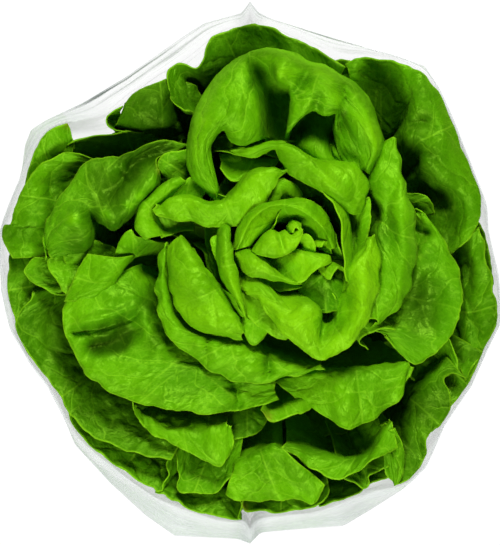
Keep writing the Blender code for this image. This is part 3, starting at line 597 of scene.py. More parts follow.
        [(5.5, -66, 86), (10, -71.5, 87), (20, -69, 88), (27, -66.5), (32, -63)],
        brown=[(8, -69, 2.5)],
    ),
    "bottom_left_bright": leaf(
        19, 0.42,
        [(-53, -66, 82), (-47, -69.5, 83), (-39, -73.5, 84), (-31, -75), (-25, -75), (-17, -74),
         (-11, -72, 85)],
        [(-57, -61, 84), (-55, -68), (-49, -76), (-40, -81), (-30, -86), (-20, -91.5), (-14, -93),
         (-8, -83, 85), (-9, -74)],
    ),
    "inner_low_left": leaf(
        30, 0.4,
        [(-36, 12, 90), (-35, 2, 88), (-34, -10, 87), (-30, -22, 89), (-22, -28, 95), (-12, -31, 98),
         (0, -34.5, 99), (10, -39, 96), (22, -42.5, 95), (34, -44, 96)],
        [(-40, 14, 100), (-41, 4, 102), (-41, -8), (-38.5, -20), (-33, -28.5), (-22, -34.5, 103),
         (-8, -41), (6, -46, 102), (20, -47, 101), (34, -45, 99)],
        [(-41, 15, 99), (-43.5, 6), (-45, -6), (-44, -18), (-40.5, -29), (-30, -38.5), (-18, -47.5),
         (-2, -53.3), (17, -50.5), (36, -45.5, 98)],
        swells=[(-25, -33.5, 3, 2.5), (-17, -35.5, 3.5, 3), (-6, -37, 4, 3), (0, -46, 6, 2.5)],
        folds=[([(6, -35), (8.5, -41), (9.5, -48)], 1.8, 5), ([(-20, -31), (-21, -38)], 1.5, 2.5)],
        shades=[(8, -43, 3, 0.5), (-36, -15, 5, 0.3)],
        pucker=0.6,
    ),
    # Inner leaves, which close over the heart
    "band_top": leaf(
        34, 0.22,
        [(-45, 32, 101), (-38, 34.8, 104), (-32, 35.6, 105), (-26, 34, 107), (-19, 32, 108),
         (-12, 33.5, 109), (-7, 37.5, 110), (-1, 44.5, 112), (6, 48.7, 113), (18, 49.3, 111)],
        [(-46, 31, 100), (-44.5, 28), (-41, 26, 101), (-36, 25, 102), (-27, 23.8, 103), (-18, 22, 104),
         (-8, 22, 106), (0, 25, 107), (6, 31, 109), (11, 39.5, 111), (14, 45.5), (18.5, 47.5, 110)],
        ribs=[[(-38, 28), (-28, 27), (-18, 27), (-8, 31), (0, 37), (8, 44)]],
        pucker=0.4,
    ),
    "band_top_back": leaf(
        32, 0.35,
        [(-16, 34, 100), (-17, 37, 101), (-12, 37.5, 102), (-7, 36, 103)],
        inset=6, dip=4,
    ),
    "inner_top": leaf(
        32, 0.24,
        [(-9, 59, 105), (0, 60.3, 108), (7, 61.5, 110), (14, 62.5, 111), (20, 60.8, 112), (26, 57, 112.5),
         (32, 53.5, 112), (39, 52, 110.5), (46, 50.5, 109), (50, 49.5, 108), (54, 46, 107),
         (57, 41, 105)],
        [(-9, 58.5, 106), (0, 59.3, 109.5), (7, 60.5, 112), (14, 61, 113.5), (20, 58.5, 115),
         (26, 54.5, 116), (31, 50, 116.5), (36, 45.5, 117), (42, 41, 116), (47, 37.5, 114), (52, 37, 110),
         (56, 37, 106)],
        [(-8.5, 57.8, 105.5), (0, 56.6, 108.5), (6, 57.8, 110), (13, 59.5, 111), (16.5, 55, 111.5),
         (20, 51.5, 113), (26, 47.5, 113.5), (32.5, 42.5, 114), (39, 38), (44.5, 34, 112),
         (50, 31.5, 110), (55.5, 32, 106)],
        [(-8, 57, 104.5), (0, 55.4, 107), (5, 56, 108), (11.5, 59.5), (15, 53, 108.5), (18, 47.7, 109.5),
         (25, 44, 110.5), (31, 40.5, 111), (37, 36.5), (42.5, 32, 109), (48.5, 28.5, 107.5),
         (53.5, 28, 105)],
        folds=[([(37, 51), (44, 44), (50, 38)], 2.5, 2)],
        shades=[(47, 43, 4, 0.15)],
        pucker=0.35, ruffle=0.35,
    ),
    "inner_top_deep": leaf(
        30, 0.45,
        [(44, 33, 100), (50, 32, 101), (53, 26), (52.5, 17, 100), (50, 10, 99)],
        [(46, 35, 104), (53, 34.5, 105), (57.3, 36, 104), (58, 28, 103.5), (57, 20, 103), (55, 13, 102),
         (52, 8, 100)],
        pucker=0.4, ruffle=0.3,
    ),
    "inner_top_back": leaf(
        26, 0.45,
        [(-15, 57, 88), (-9, 57, 89), (-3, 57, 90), (3, 56), (9, 56), (14, 56)],
        [(-14, 53, 95), (-9, 51), (-3, 51, 96), (3, 52.5, 98), (9, 53), (14, 54, 95)],
        [(-14.5, 50, 99.5), (-10.5, 45.3, 102), (-6.5, 43.2, 102.5), (-1, 46.7, 102), (5, 48.3, 101),
         (11, 48.8, 100)],
        pucker=0.35, ruffle=0.3,
    ),
    "inner_top_face": leaf(
        25, 0.55,
        [(-20, 66, 84), (-10, 66, 86), (2, 63.5), (14, 61, 84)],
        [(-18, 58, 93), (-8, 57, 96), (2, 56, 97), (14, 56, 96)],
        pucker=0.8,
    ),
    "inner_left": leaf(
        36, 0.2,
        [(-33, 18, 108), (-29.5, 11, 111), (-25, 2, 113), (-19.5, -5, 114), (-14, -12), (-8.5, -20, 112),
         (-3, -29, 109)],
        [(-34, 17.5, 108), (-36, 11, 109), (-33.5, 0, 112), (-29, -9, 113), (-23, -17, 112),
         (-15, -25, 110), (-4, -30, 108)],
        [(-35, 17, 107), (-39, 11, 104), (-39.5, 0, 103), (-37.5, -11, 102), (-33, -21),
         (-22, -28.5, 103), (-3.5, -32.5, 106)],
        pucker=0.7, ruffle=0.4,
    ),
    "inner_left_narrow": leaf(
        38, 0.16,
        [(-14, 27, 99), (-15, 19, 106), (-15, 10, 110.5), (-14, 3, 112), (-12, -4), (-8, -10.5),
         (-5, -16, 111), (-2.5, -22, 109.5)],
        [(-12, 27, 101), (-12, 19, 110), (-12, 11, 114.5), (-11, 3, 116), (-9, -4), (-6.5, -10, 115),
         (-4, -16, 113.5), (-2, -22, 110.5)],
        [(-10, 27, 99), (-9.3, 19, 108), (-8.7, 12, 112), (-7, 4, 113), (-5, -4), (-4, -10, 112),
         (-3, -16.5, 111.5), (-1.5, -22.5, 109)],
        shades=[(-9, 19, 3, 0.2)],
        pucker=0.35, ruffle=0.3,
    ),
    "inner_left_narrow_low": leaf(
        36, 0.25,
        [(-13, -8, 106), (-10.5, -13, 107), (-8, -17), (-5, -21, 106)],
        [(-9.5, -10, 109), (-6.5, -14, 110), (-4.5, -18), (-2.5, -21.5, 109)],
        ruffle=0.3,
    ),
    "inner_left_deep": leaf(
        34, 0.5,
        [(-27, 15, 86), (-22, 8, 88), (-19, 0), (-14, -8), (-10, -16)],
        inset=4, dip=3,
    ),
    "inner_left_back": leaf(
        36, 0.32,
        [(-14, 2, 102), (-16.5, 7, 102.5), (-18.5, 12), (-19, 16.5, 102), (-15, 18.5, 101)],
        inset=4, dip=1.5, ruffle=0.3,
    ),
    "inner_left_under": leaf(
        37, 0.45,
        [(-3, -19, 103), (1, -20, 104), (6, -23), (10, -26, 103)],
        [(-4, -25, 106), (0, -27, 107.5), (4, -29, 107), (8, -29, 105)],
        [(-2.5, -30, 106), (0, -34, 105.5), (3, -35, 105), (6, -32, 104.5)],
        pucker=0.4, ruffle=0.3,
    ),
    "inner_low_under": leaf(
        38, 0.18,
        [(2, -4, 105), (4, -9), (7, -15), (11, -21), (16, -26), (20, -30, 104)],
        [(-5, -6, 107), (-3.5, -13, 107.5), (-1.5, -20, 107), (4, -26.5, 106), (11, -30.5, 105),
         (17, -32.5, 104)],
        folds=[([(-1, -8), (5, -22)], 2, 1.5)],
        pucker=0.2, ruffle=0.15,
    ),
    "cup_right": leaf(
        40, 0.08,
        [(-5, -2, 104), (3, -2.5, 106), (9, -5.5, 107), (16, -11, 106), (27, -14, 108), (33, -17.5, 107),
         (35.5, -24, 102), (38, -24, 101), (41, -20), (43, -11, 104), (46, -4, 107), (48.5, 2, 109),
         (56, 15.5, 107)],
        [(-4, -8, 108), (4, -8.5, 111), (11, -11.5, 113), (19, -17.5, 114), (27, -16, 116),
         (34, -19.5, 114), (34.5, -29, 106), (38, -28), (43, -25), (46, -14, 108), (48, -4, 113),
         (50, 3, 114), (57.5, 17, 110)],
        [(-1, -10, 109), (5, -12, 112), (11, -17, 114), (18, -23, 115), (26, -26, 116), (32, -31, 113),
         (34, -35, 111), (39, -33), (47, -28, 112), (53, -17, 115.5), (55, -5, 117), (56, 6, 116),
         (59, 17.5, 110)],
        [(0.5, -11, 108), (5, -14.5, 110), (9, -21.5), (17, -30), (26, -38), (31, -41), (35, -41.7),
         (41, -40), (48.5, -34.5), (57, -22), (62, -7), (62.5, 7, 109), (60, 18.5, 108)],
        shades=[(40, -22, 5.5, 0.7), (45, -13, 4, 0.4), (33, -25, 2.5, 0.5), (27, -13, 4, 0.2),
                (20, -22, 6, -0.08)],
        belly=(0.7, 0.6), pucker=0.6, ruffle=0.6,
    ),
    # The heart
    "heart_right": leaf(
        44, 0.1,
        [(26, 44, 108), (36, 37.5, 113), (41, 31, 115), (43.5, 24, 116), (44.3, 16, 117), (44.8, 9, 118),
         (45.3, 3), (46, -4, 116)],
        inset=-4, dip=10, pucker=0.25, ruffle=0.25,
    ),
    "heart_ring": leaf(
        44, 0.1,
        [(0, 13, 107), (4, 18.5), (9, 22.5, 106), (13, 25, 104), (17.5, 26.5, 102), (23, 25, 101),
         (27, 21), (31, 16, 102), (34, 11)],
        [(-5.2, 11.3, 108.5), (-2.5, 17.8, 111.5), (1.4, 24.5, 113), (7.7, 29.7, 113.5), (14, 31.3),
         (21.1, 30.5, 113), (28, 26.7, 112), (34.5, 20, 110.5), (39.3, 11.5, 108.5)],
        [(-6, 11, 110), (-3.2, 18, 113.5), (0.6, 25, 115), (7.4, 30.6, 116), (14, 32.3, 116.5),
         (21.5, 31.5, 116), (28.7, 27.5, 115), (35.3, 20.6, 113.5), (40, 11.5, 111)],
        [(-9, 10.5, 106), (-7, 18.4, 108.5), (-2.5, 26.8, 110.5), (6, 32.6, 111.5), (14, 34.5, 112),
         (23, 36, 110.5), (32.7, 32.5, 108.5), (38.5, 24.5, 107.5), (42, 12, 106.5)],
        shades=[(25, 24, 4, 0.6), (31, 18, 4, 0.5), (17, 28, 3, 0.4), (20, 34.5, 5, 0.35),
                (31, 30, 5, 0.4), (39, 19, 4, 0.3)],
        pucker=0.25, ruffle=0.25,
    ),
    "heart_line": leaf(
        44, 0.15,
        [(5.5, 11, 104), (7.5, 16, 105), (11, 21, 106), (13, 26, 107), (14.5, 30, 108)],
        [(5.5, 12, 108), (7, 16.5, 109), (10.5, 21, 110), (13, 26, 111), (14.7, 30.5)],
        pucker=0.2, ruffle=0.2,
    ),
    "heart_left": leaf(
        46, 0.08,
        [(-7, 10, 107), (-2, 10.3, 109.5), (2, 8, 111), (7, 5, 111.5), (12, 1.3), (18, -2.7, 111),
         (25, -5, 110)],
        [(-7, 8.5, 109), (-3, 6.5, 112), (2, 4, 114), (7, 1.5, 114.5), (12, -1, 114), (18, -3.7, 113),
         (24, -5, 111.5)],
        [(-6.5, 6.5, 106), (-4.5, 1.5, 108.5), (0, -1.3, 110), (7, -3, 111), (13, -4), (19, -5),
         (24.5, -5.5, 110.5)],
        pucker=0.35, ruffle=0.3,
    ),
    "heart_fold": leaf(
        46, 0.06,
        [(9, 5, 104), (15, 7.5, 107), (20, 9.3, 109), (25, 9.5, 110.5), (30, 9, 111), (34, 8.5, 110),
         (38.5, 8, 108)],
        [(11, 2, 105), (17, 2.5, 108), (22, 3, 110), (26, 3.5, 111), (30, 4.5, 112), (34, 5.5),
         (39, 6, 109)],
        [(13, -3, 106), (20, -4.5, 111), (23, -5, 112), (26, -4, 113), (29.5, -1, 113.5), (33.5, 2, 113),
         (39.5, 4.5, 109)],
        shades=[(15, 4, 5, 0.55), (22, 1, 3.5, 0.3), (30, 6, 4, 0.2)],
        pucker=0.35, ruffle=0.3,
    ),
    "heart_fold_low": leaf(
        44, 0.2,
        [(8, -3, 100), (14, -5, 102), (20, -6, 103), (26, -6, 102)],
        [(8.5, -6, 103), (14, -9.5, 105), (19, -8.5, 106), (25, -6.5, 105)],
        pucker=0.3, ruffle=0.3,
    ),
    "heart_floor": leaf(
        42, 0.75,
        [(23, -6, 101), (29, -2, 105), (35, -1.5, 107), (41, -4, 106), (47, -6, 103)],
        [(24, -12, 102), (29, -11, 104), (35, -11, 105), (41, -12, 104), (47, -12, 102)],
        [(23, -17, 101), (29, -18.5, 103), (35, -19.5, 104), (42, -18, 102), (49, -14, 101)],
        swells=[(33, -3, 3, 2), (28, -8, 3, 1.5), (38, -9, 3, 1.5), (31, -14, 3, 1.5),
                (42, -3, 2.5, 1.5)],
        pucker=0.6, ruffle=0.4,
    ),
    "heart_bud": leaf(
        48, 0.02,
        [(1, 10.5, 110), (4, 14, 112), (7, 17.3, 113), (11, 19, 113.5), (14, 17.7, 112.5),
         (17, 18.7, 113), (20, 17.5), (22.5, 20), (24, 22)],
        [(1.3, 10, 111), (5, 12, 114.5), (9, 13.5, 116.5), (13, 13.5), (15.5, 13.2, 115.5),
         (18, 14, 116.5), (21, 15, 115.5), (23.5, 18, 115), (25, 21, 114.5)],
        [(1.5, 9.5, 110), (5, 8, 113), (9, 7, 114), (13, 7), (17, 8.3), (20.5, 10.5, 114.5),
         (23.3, 13.5, 115.5), (24.8, 17.5, 116), (25.3, 21, 115.5)],
        folds=[([(14.3, 19), (15.5, 12)], 1.2, 1.6)],
        pucker=0.25, ruffle=0.2,
    ),
    "heart_bud_curl": leaf(
        46, 0.05,
        [(19, 19, 110), (18.5, 22, 111), (21, 24.3, 112), (24.5, 22.5)],
        [(21, 19, 113), (21.3, 21.3, 114), (23, 21.5, 114.5), (24.6, 19, 114)],
        pucker=0.2, ruffle=0.2,
    ),
    "heart_wisp": leaf(
        46, 0.15,
        [(24.5, 18, 108), (27, 19, 109.5), (30, 16, 110), (31.5, 11.5, 109), (31, 9, 107)],
        inset=5, dip=2, ruffle=0.3,
    ),
    "heart_wisp_right": leaf(
        44, 0.1,
        [(31, 10, 106), (32, 13, 108), (34.5, 12, 109), (36, 15), (38.5, 13, 108), (39.5, 9, 106)],
        inset=4, dip=3, ruffle=0.3,
    ),
    "heart_curl": leaf(
        44, 0.12,
        [(36.5, 3, 108), (36.8, -3, 110), (38.5, -3.5, 111), (41, 1), (44, 3, 110), (45.5, 0, 108)],
        inset=4, dip=3, pucker=0.25, ruffle=0.25,
    ),
    "heart_back": leaf(
        40, 0.5,
        [(5, 33, 105), (8, 38.5, 107), (11, 43, 108), (15, 45.3), (19, 44, 107), (23, 41, 105),
         (25.5, 38, 103)],
        inset=7, dip=1, belly=(0.7, 0.7), ruffle=0.3,
    ),
    "heart_side": leaf(
        42, 0.6,
        [(36, 29, 104), (38.5, 24, 106), (41, 18, 107), (43, 12, 106), (44, 7, 104)],
        inset=3, dip=3, ruffle=0.3,
    ),
    "heart_inside": leaf(
        44, 0.8,
        [(12, 28, 100), (17, 29, 102), (23, 28, 103), (28, 24), (32, 19, 102), (34, 15, 100)],
        inset=4, dip=3, ruffle=0.3,
    ),
    "heart_low": leaf(
        42, 0.2,
        [(30, -1, 104), (33, -5, 106), (36, -6), (39, -9), (41, -13, 104)],
        inset=3, dip=3, ruffle=0.3,
    ),
}


# The leaves that the others hide from above: two whorls beside the film, then two round the heart,
# each with its count, first azimuth, foot height and rim height. The last number is the share of the
# film's radius that the rim stands at or, for the two round the heart, the rim's radius itself.
OUTER_WHORLS = ((9, 8, 8, 58, 0.9), (8, 25, 14, 54, 0.76))
INNER_WHORLS = ((7, 15, 30, 90, 46.0), (5, 0, 38, 96, 27.0))


def hidden_leaves():
    """The hidden whorls, each leaf's rim an arc that is highest and widest at its middle."""
    made = {}
    for count, first, foot, height, share in OUTER_WHORLS + INNER_WHORLS:
        inner = share > 1
        middle_x, middle_y = stem_axis(height)[:2] if inner else (0.0, 0.0)
        for i in range(count):
            middle = first + 360 * i / count
            rim = []
            for step in range(-3, 4):
                azimuth = middle + step * (180 / count) * 0.45
                radius = share if inner else share * float(film_radius(azimuth, height))
                radius *= 1 - 0.006 * step * step
                turn = math.radians(azimuth)
                rim.append((
                    middle_x + radius * math.cos(turn),
                    middle_y + radius * math.sin(turn),
                    height - 0.6 * step * step,
                ))
            depth = 0.3 * radius
            made[f"hidden_{foot}_{i + 1}"] = leaf(
                foot, 1.0, rim, inset=depth, dip=(0.3 if inner else 0.6) * depth
            )
    return made


# --- Curves and surfaces -------------------------------------------------------------------


def smooth(x):
    x = np.clip(x, 0.0, 1.0)
    return x * x * (3 - 2 * x)


def knots_of(points):
    """Knots for a curve through points, spaced so that it doesn't swing wide at a tight turn."""
    gaps = np.linalg.norm(np.diff(points, axis=0), axis=-1)
    gaps = gaps.reshape(len(gaps), -1).mean(axis=1)
    return np.concatenate([[0.0], np.cumsum(np.sqrt(np.maximum(gaps, 1e-6)))])


def curve_through(points, at, knots):
    """A smooth curve through points, taken at the given places along its knots."""
    points = np.asarray(points, float)
    slopes = np.gradient(points, knots, axis=0)
    i = np.clip(np.searchsorted(knots, at, side="right") - 1, 0, len(knots) - 2)
    h = knots[i + 1] - knots[i]
    t = (at - knots[i]) / h
    shape = (-1,) + (1,) * (points.ndim - 1)
    h, t = h.reshape(shape), t.reshape(shape)
    return (
        points[i] * (2 * t**3 - 3 * t**2 + 1)
        + slopes[i] * h * (t**3 - 2 * t**2 + t)
        + points[i + 1] * (3 * t**2 - 2 * t**3)
        + slopes[i + 1] * h * (t**3 - t**2)
    )


def places_along(points, knots, step):
    """Places along a curve's knots, about one step apart between each pair of its points."""
    gaps = np.linalg.norm(np.diff(points, axis=0), axis=-1).reshape(len(knots) - 1, -1).mean(axis=1)
    runs = [
        np.linspace(low, high, max(2, math.ceil(gap / step)), endpoint=False)
        for low, high, gap in zip(knots, knots[1:], gaps)
    ]
    return np.concatenate(runs + [knots[-1:]])


def ray_lengths(azimuth, outline):
    """How far a ray from the middle runs to a closed outline of (x, y) corners, for each azimuth."""
    corners = np.array(outline, float)
    following = np.roll(corners, -1, axis=0)
    turn = np.radians(np.asarray(azimuth, float))[..., None]
    ray_x, ray_y = np.cos(turn), np.sin(turn)
    side_x, side_y = (following - corners).T
    crossing = ray_x * side_y - ray_y * side_x
    along = (corners[:, 0] * side_y - corners[:, 1] * side_x) / crossing
    share = (corners[:, 0] * ray_y - corners[:, 1] * ray_x) / crossing
    met = (along > 0) & (share > -1e-6) & (share < 1 + 1e-6)
    return np.where(met, along, np.inf).min(axis=-1)


def camera_scale(height):
    """How much larger something at a height is than it looks beside the film's mouth."""
    return (CAMERA_RISE - height) / (CAMERA_RISE - RIM_HEIGHT)


def held_outline():
    """How far out the leaves' rims hold the film at every degree, taut between the rims."""
    reach = np.zeros(360)
    for spec in LEAVES.values():
        rim = spec["rows"][-1].copy()
        rim[:, :2] *= camera_scale(rim[:, 2:])
        knots = knots_of(rim)
        x, y, _ = curve_through(rim, np.linspace(0, knots[-1], HELD_PLACES), knots).T
        degree = np.round(np.degrees(np.arctan2(y, x))).astype(int) % 360
        np.maximum.at(reach, degree, np.hypot(x, y))
    spanned = np.max([np.roll(reach, turn) for turn in range(-HELD_SPAN, HELD_SPAN + 1)], axis=0)
    weights = np.hanning(2 * HELD_SMOOTHING + 3)[1:-1]
    turns = range(-HELD_SMOOTHING, HELD_SMOOTHING + 1)
    smoothed = sum(weight * np.roll(spanned, turn) for weight, turn in zip(weights, turns)) / weights.sum()
    return np.append(smoothed, smoothed[0])


# The two outlines at every degree, which film_radius reads between
ROUND = np.arange(0, 361)
MOUTH_RADII = ray_lengths(ROUND, MOUTH)
HELD_RADII = np.minimum(held_outline() + HELD_EASE, MOUTH_RADII * HELD_PAST_MOUTH)
for weld in WELDS:
    HELD_RADII[weld - 1 : weld + 2] += (WELD_FOOT * WELD_REACH, WELD_REACH, WELD_FOOT * WELD_REACH)


def film_radius(azimuth, height):
    """Radius of the film at an azimuth in degrees and a height in millimetres."""
    azimuth = np.asarray(azimuth, float) % 360
    mouth = np.interp(azimuth, ROUND, MOUTH_RADII)
    held = np.interp(azimuth, ROUND, HELD_RADII)
    rise = np.clip(np.asarray(height, float) / SHOULDER_HEIGHT, 0.0, 1.0)
    share = np.sqrt(1 - (1 - rise) ** 2)
    swell = BASE_RADIUS + (held - BASE_RADIUS) * share
    flare = np.clip((height - HELD_HEIGHT) / (RIM_HEIGHT - HELD_HEIGHT), 0.0, 1.0)
    return swell + (mouth - held) * flare


def inside_film(points):
    """Points eased inward where they would come through the film."""
    azimuth = np.degrees(np.arctan2(points[..., 1], points[..., 0]))
    radius = np.hypot(points[..., 0], points[..., 1])
    most = film_radius(azimuth, points[..., 2]) - LEAF_GAP
    free = most - LEAF_EASING
    eased = most - LEAF_EASING * np.exp((free - radius) / LEAF_EASING)
    scale = np.where(radius > free, eased / np.maximum(radius, 1e-6), 1.0)
    moved = points.copy()
    moved[..., :2] *= scale[..., None]
    return moved


def stem_axis(height):
    share = (height - STEM_FOOT[2]) / (STEM_TOP[2] - STEM_FOOT[2])
    return STEM_FOOT + (STEM_TOP - STEM_FOOT) * share


def distance_to_line(x, y, line):
    """Distance in plan from each (x, y) to a chain of points."""
    best = np.full(x.shape, np.inf)
    for (ax, ay), (bx, by) in zip(line, line[1:]):
        dx, dy = bx - ax, by - ay
        along = np.clip(((x - ax) * dx + (y - ay) * dy) / (dx * dx + dy * dy), 0, 1)
        best = np.minimum(best, np.hypot(x - ax - along * dx, y - ay - along * dy))
    return best


def cell_edges(across, along, size, seed):
    """How far each place is from the edge of its cell, for cells of about this size."""
    rng = np.random.default_rng(seed)
    low_a, low_b = across.min() - 2 * size, along.min() - 2 * size
    count_a = int((across.max() - low_a) / size) + 3
    count_b = int((along.max() - low_b) / size) + 3
    jitter = rng.uniform(-0.38, 0.38, (count_a, count_b, 2))
    column = np.floor((across - low_a) / size).astype(int)
    row = np.floor((along - low_b) / size).astype(int)
    near = np.full(across.shape + (9,), np.inf)
    k = 0
    for i in (-1, 0, 1):
        for j in (-1, 0, 1):
            a = np.clip(column + i, 0, count_a - 1)
            b = np.clip(row + j, 0, count_b - 1)
            centre_a = low_a + (a + 0.5 + jitter[a, b, 0]) * size
            centre_b = low_b + (b + 0.5 + jitter[a, b, 1]) * size
            near[..., k] = np.hypot(across - centre_a, along - centre_b)
            k += 1
    near.sort(axis=-1)
    return near[..., 1] - near[..., 0]


def waves(x, y, size, seed):
    """A soft uneven field of about -1 to 1, with swells of about this size."""
    rng = np.random.default_rng(seed)
    total = np.zeros(x.shape)
    for _ in range(6):
        turn, phase = rng.uniform(0, 2 * math.pi, 2)
        pitch = 2 * math.pi / (size * rng.uniform(1.4, 2.6))
        total += np.sin(pitch * (x * math.cos(turn) + y * math.sin(turn)) + phase)
    return total / 3.0


def layered_waves(x, y, seed, layers):
    """Waves of several sizes laid on each other."""
    return sum(waves(x, y, size, seed + step) * height for step, size, height in layers)


def normals_of(points):
    du = np.gradient(points, axis=0)
    dv = np.gradient(points, axis=1)
    n = np.cross(dv, du)
    n /= np.maximum(np.linalg.norm(n, axis=-1, keepdims=True), 1e-9)
    return n * np.where(n[..., 2:3] < 0, -1.0, 1.0)


def inner_row(rim, inset, dip, centre):
    """The row inside a leaf's rim, drawn in towards the head's middle and lower."""
    rim = np.asarray(rim, float)
    inward = centre[:2] - rim[:, :2]
    inward /= np.linalg.norm(inward, axis=1, keepdims=True)
    row = rim.copy()
    row[:, :2] += inward * inset
    row[:, 2] -= dip
    return row


def leaf_points(spec, seed):
    """A leaf's grid of points, foot to rim by side to side, and the fields it carries at each."""
    foot_height = spec["foot"]
    axis = stem_axis(foot_height)
    rows = [row.copy() for row in spec["rows"]]
    if len(rows) == 1:
        centre = stem_axis(STEM_TOP[2])
        rows.insert(0, inner_row(rows[0], spec["inset"], spec["dip"], centre))
    for row in rows:
        row[:, :2] *= camera_scale(row[:, 2:])
    alike = all(len(row) == len(rows[0]) for row in rows)
    ends = [knots_of(row) / knots_of(row)[-1] for row in rows]
    knots_across = [np.mean(ends, axis=0)] * len(rows) if alike else ends
    across = places_along(rows[-1], knots_across[-1], MESH_STEP)
    columns = len(across)
    drawn = [curve_through(row, across, knots) for row, knots in zip(rows, knots_across)]

    # the hidden part: from the stem, low under the neighbours, up to the first row
    first = drawn[0]
    angle = np.unwrap(np.arctan2(first[:, 1] - axis[1], first[:, 0] - axis[0]))
    midrib = columns // 2
    turned = angle[midrib] + (angle - angle[midrib]) * FOOT_WRAP
    girth = FOOT_RADIUS * (1 - foot_height / (STEM_TOP[2] + 10))
    foot = np.stack([np.cos(turned), np.sin(turned), np.zeros(columns)], axis=1) * girth + axis
    reach, rise = spec.get("belly", INNER_BELLY if spec["tone_and_shade"] <= INNER_TONE else OUTER_BELLY)
    belly = foot + (first - foot) * reach
    belly[:, 2] = foot[:, 2] + (first[:, 2] - foot[:, 2]) * rise
    chain = np.stack([foot, belly] + drawn)
    knots = knots_of(chain)
    hidden = places_along(chain[:2], knots[:2], 4 * MESH_STEP)[:-1]
    up = np.concatenate([hidden, places_along(chain[1:], knots[1:], MESH_STEP)])
    points = curve_through(chain, up, knots)

    # what the leaf's own lengths are, along it and across it from its midrib
    along = np.concatenate([
        np.zeros((1, columns)), np.cumsum(np.linalg.norm(np.diff(points, axis=0), axis=-1), axis=0),
    ])
    sideways = np.concatenate([
        np.zeros((len(up), 1)), np.cumsum(np.linalg.norm(np.diff(points, axis=1), axis=-1), axis=1),
    ], axis=1)
    sideways -= sideways[:, midrib : midrib + 1]
    level = along.mean(axis=1, keepdims=True) + np.zeros_like(along)
    to_side = np.minimum(sideways - sideways[:, :1], sideways[:, -1:] - sideways)
    edge = np.minimum(along[-1] - along, to_side)
    seen = smooth((up - knots[1]) / (knots[2] - knots[1]) / 0.8)[:, None]

    # relief: the listed folds and swells, then the blade's own puckers and the rim's waves
    scale = camera_scale(points[..., 2])
    x, y = points[..., 0] / scale, points[..., 1] / scale
    for line, width, depth in spec.get("folds", ()):
        points[..., 2] -= depth * seen * np.exp(-((distance_to_line(x, y, line) / width) ** 2))
    for sx, sy, radius, height in spec.get("swells", ()):
        points[..., 2] += height * seen * np.exp(-(((x - sx) ** 2 + (y - sy) ** 2) / radius**2))
    normal = normals_of(points)
    inner = smooth(edge / FLAT_RIM)
    drift = waves(level, sideways, CELL_DRIFT, seed + 7)
    swells = layered_waves(sideways, level, seed, BLADE_SWELLS)
    cells = cell_edges(sideways + 3 * drift, level + 2 * drift, CELL_SIZE, seed)
    blisters = smooth(cells / (0.6 * CELL_SIZE)) - 0.5
    groove = -GROOVE_DEPTH * np.exp(-((vein_distance(sideways, level) / GROOVE_WIDTH) ** 2))
    patches = smooth(waves(level, sideways, PATCH_SIZE, seed + 90) * 0.5 + 0.5)
    amount = LEAST_RELIEF + (1 - LEAST_RELIEF) * patches
    blade = amount * (BLISTER_HEIGHT * blisters + groove) + swells
    relief = spec.get("pucker", 1.0) * blade * inner * seen
    uneven = 2.4 * waves(sideways, level, PATCH_SIZE, seed + 3)
    ripple = np.sin(sideways * (2 * math.pi / RIM_WAVE_LENGTH) + uneven)
    ripple *= RIM_WAVE_HEIGHT * np.exp(-edge / RIM_WAVE_DEPTH)
    rim_wave = spec.get("ruffle", 1.0) * ripple * seen
    points += normal * (relief + rim_wave)[..., None]
    points = points + rim_teeth(points, edge, sideways, level, seed)

    brown = np.zeros_like(edge)
    for bx, by, radius in spec.get("brown", ()):
        brown = np.maximum(brown, np.exp(-((x - bx) ** 2 + (y - by) ** 2) / radius**2))
    # the tone, with painted shade deepening an outer leaf away from its rim, under its neighbours
    tone_and_shade = spec["tone_and_shade"] + PAINTED_SHADE_INWARD * smooth((edge - 3) / 24) * smooth((spec["tone_and_shade"] - 0.3) / 0.4)
    # painted shades deepen the tone where the leaf lies in shade, and below zero paint a highlight
    for sx, sy, radius, deeper in spec.get("shades", ()):
        tone_and_shade += deeper * np.exp(-(((x - sx) ** 2 + (y - sy) ** 2) / radius**2))
    from_rib = np.full_like(edge, FAR)
    for line in spec.get("ribs", ()):
        from_rib = np.minimum(from_rib, distance_to_line(x, y, line))
    carried = {
        "place": (sideways, level, np.maximum(edge, 0)),
        "look": (np.clip(tone_and_shade, 0, DEEPEST_PAINTED_SHADE), brown, np.full_like(edge, (seed * 0.37) % 1)),
        "veins": (from_rib, cells),
    }
    return inside_film(points), carried


def vein_distance(sideways, level):
    """Distance to the nearest side vein: they leave the midrib by turns and curve to the rim."""
    reach = np.abs(sideways)
    climb = level - VEIN_SLANT * reach + VEIN_CURVE * reach**2
    order = climb / VEIN_SPACING + VEIN_OFFSET * np.sign(sideways)
    return np.abs((order + 0.5) % 1 - 0.5) * VEIN_SPACING


def rim_teeth(points, edge, sideways, level, seed):
    """Small shifts in plan that leave a leaf's rim uneven instead of drawn with one stroke."""
    outward = np.gradient(points, axis=0)
    outward /= np.maximum(np.linalg.norm(outward, axis=-1, keepdims=True), 1e-9)
    uneven = layered_waves(sideways, level, seed, RIM_TEETH)
    return outward * (uneven * np.exp(-edge / RIM_TEETH_DEPTH))[..., None]


def grid_mesh(name, points, material):
    """A mesh from a grid of points in millimetres."""
    rows, columns = points.shape[:2]
    i = np.arange(rows - 1)[:, None] * columns + np.arange(columns - 1)[None, :]
    faces = np.stack([i, i + 1, i + columns + 1, i + columns], axis=-1).reshape(-1, 4)
    mesh = bpy.data.meshes.new(name)
    mesh.from_pydata((points.reshape(-1, 3) * MM).tolist(), [], faces.tolist())
    mesh.materials.append(material)
    mesh.shade_smooth()
    made = bpy.data.objects.new(name, mesh)
    bpy.context.scene.collection.objects.link(made)
    return made


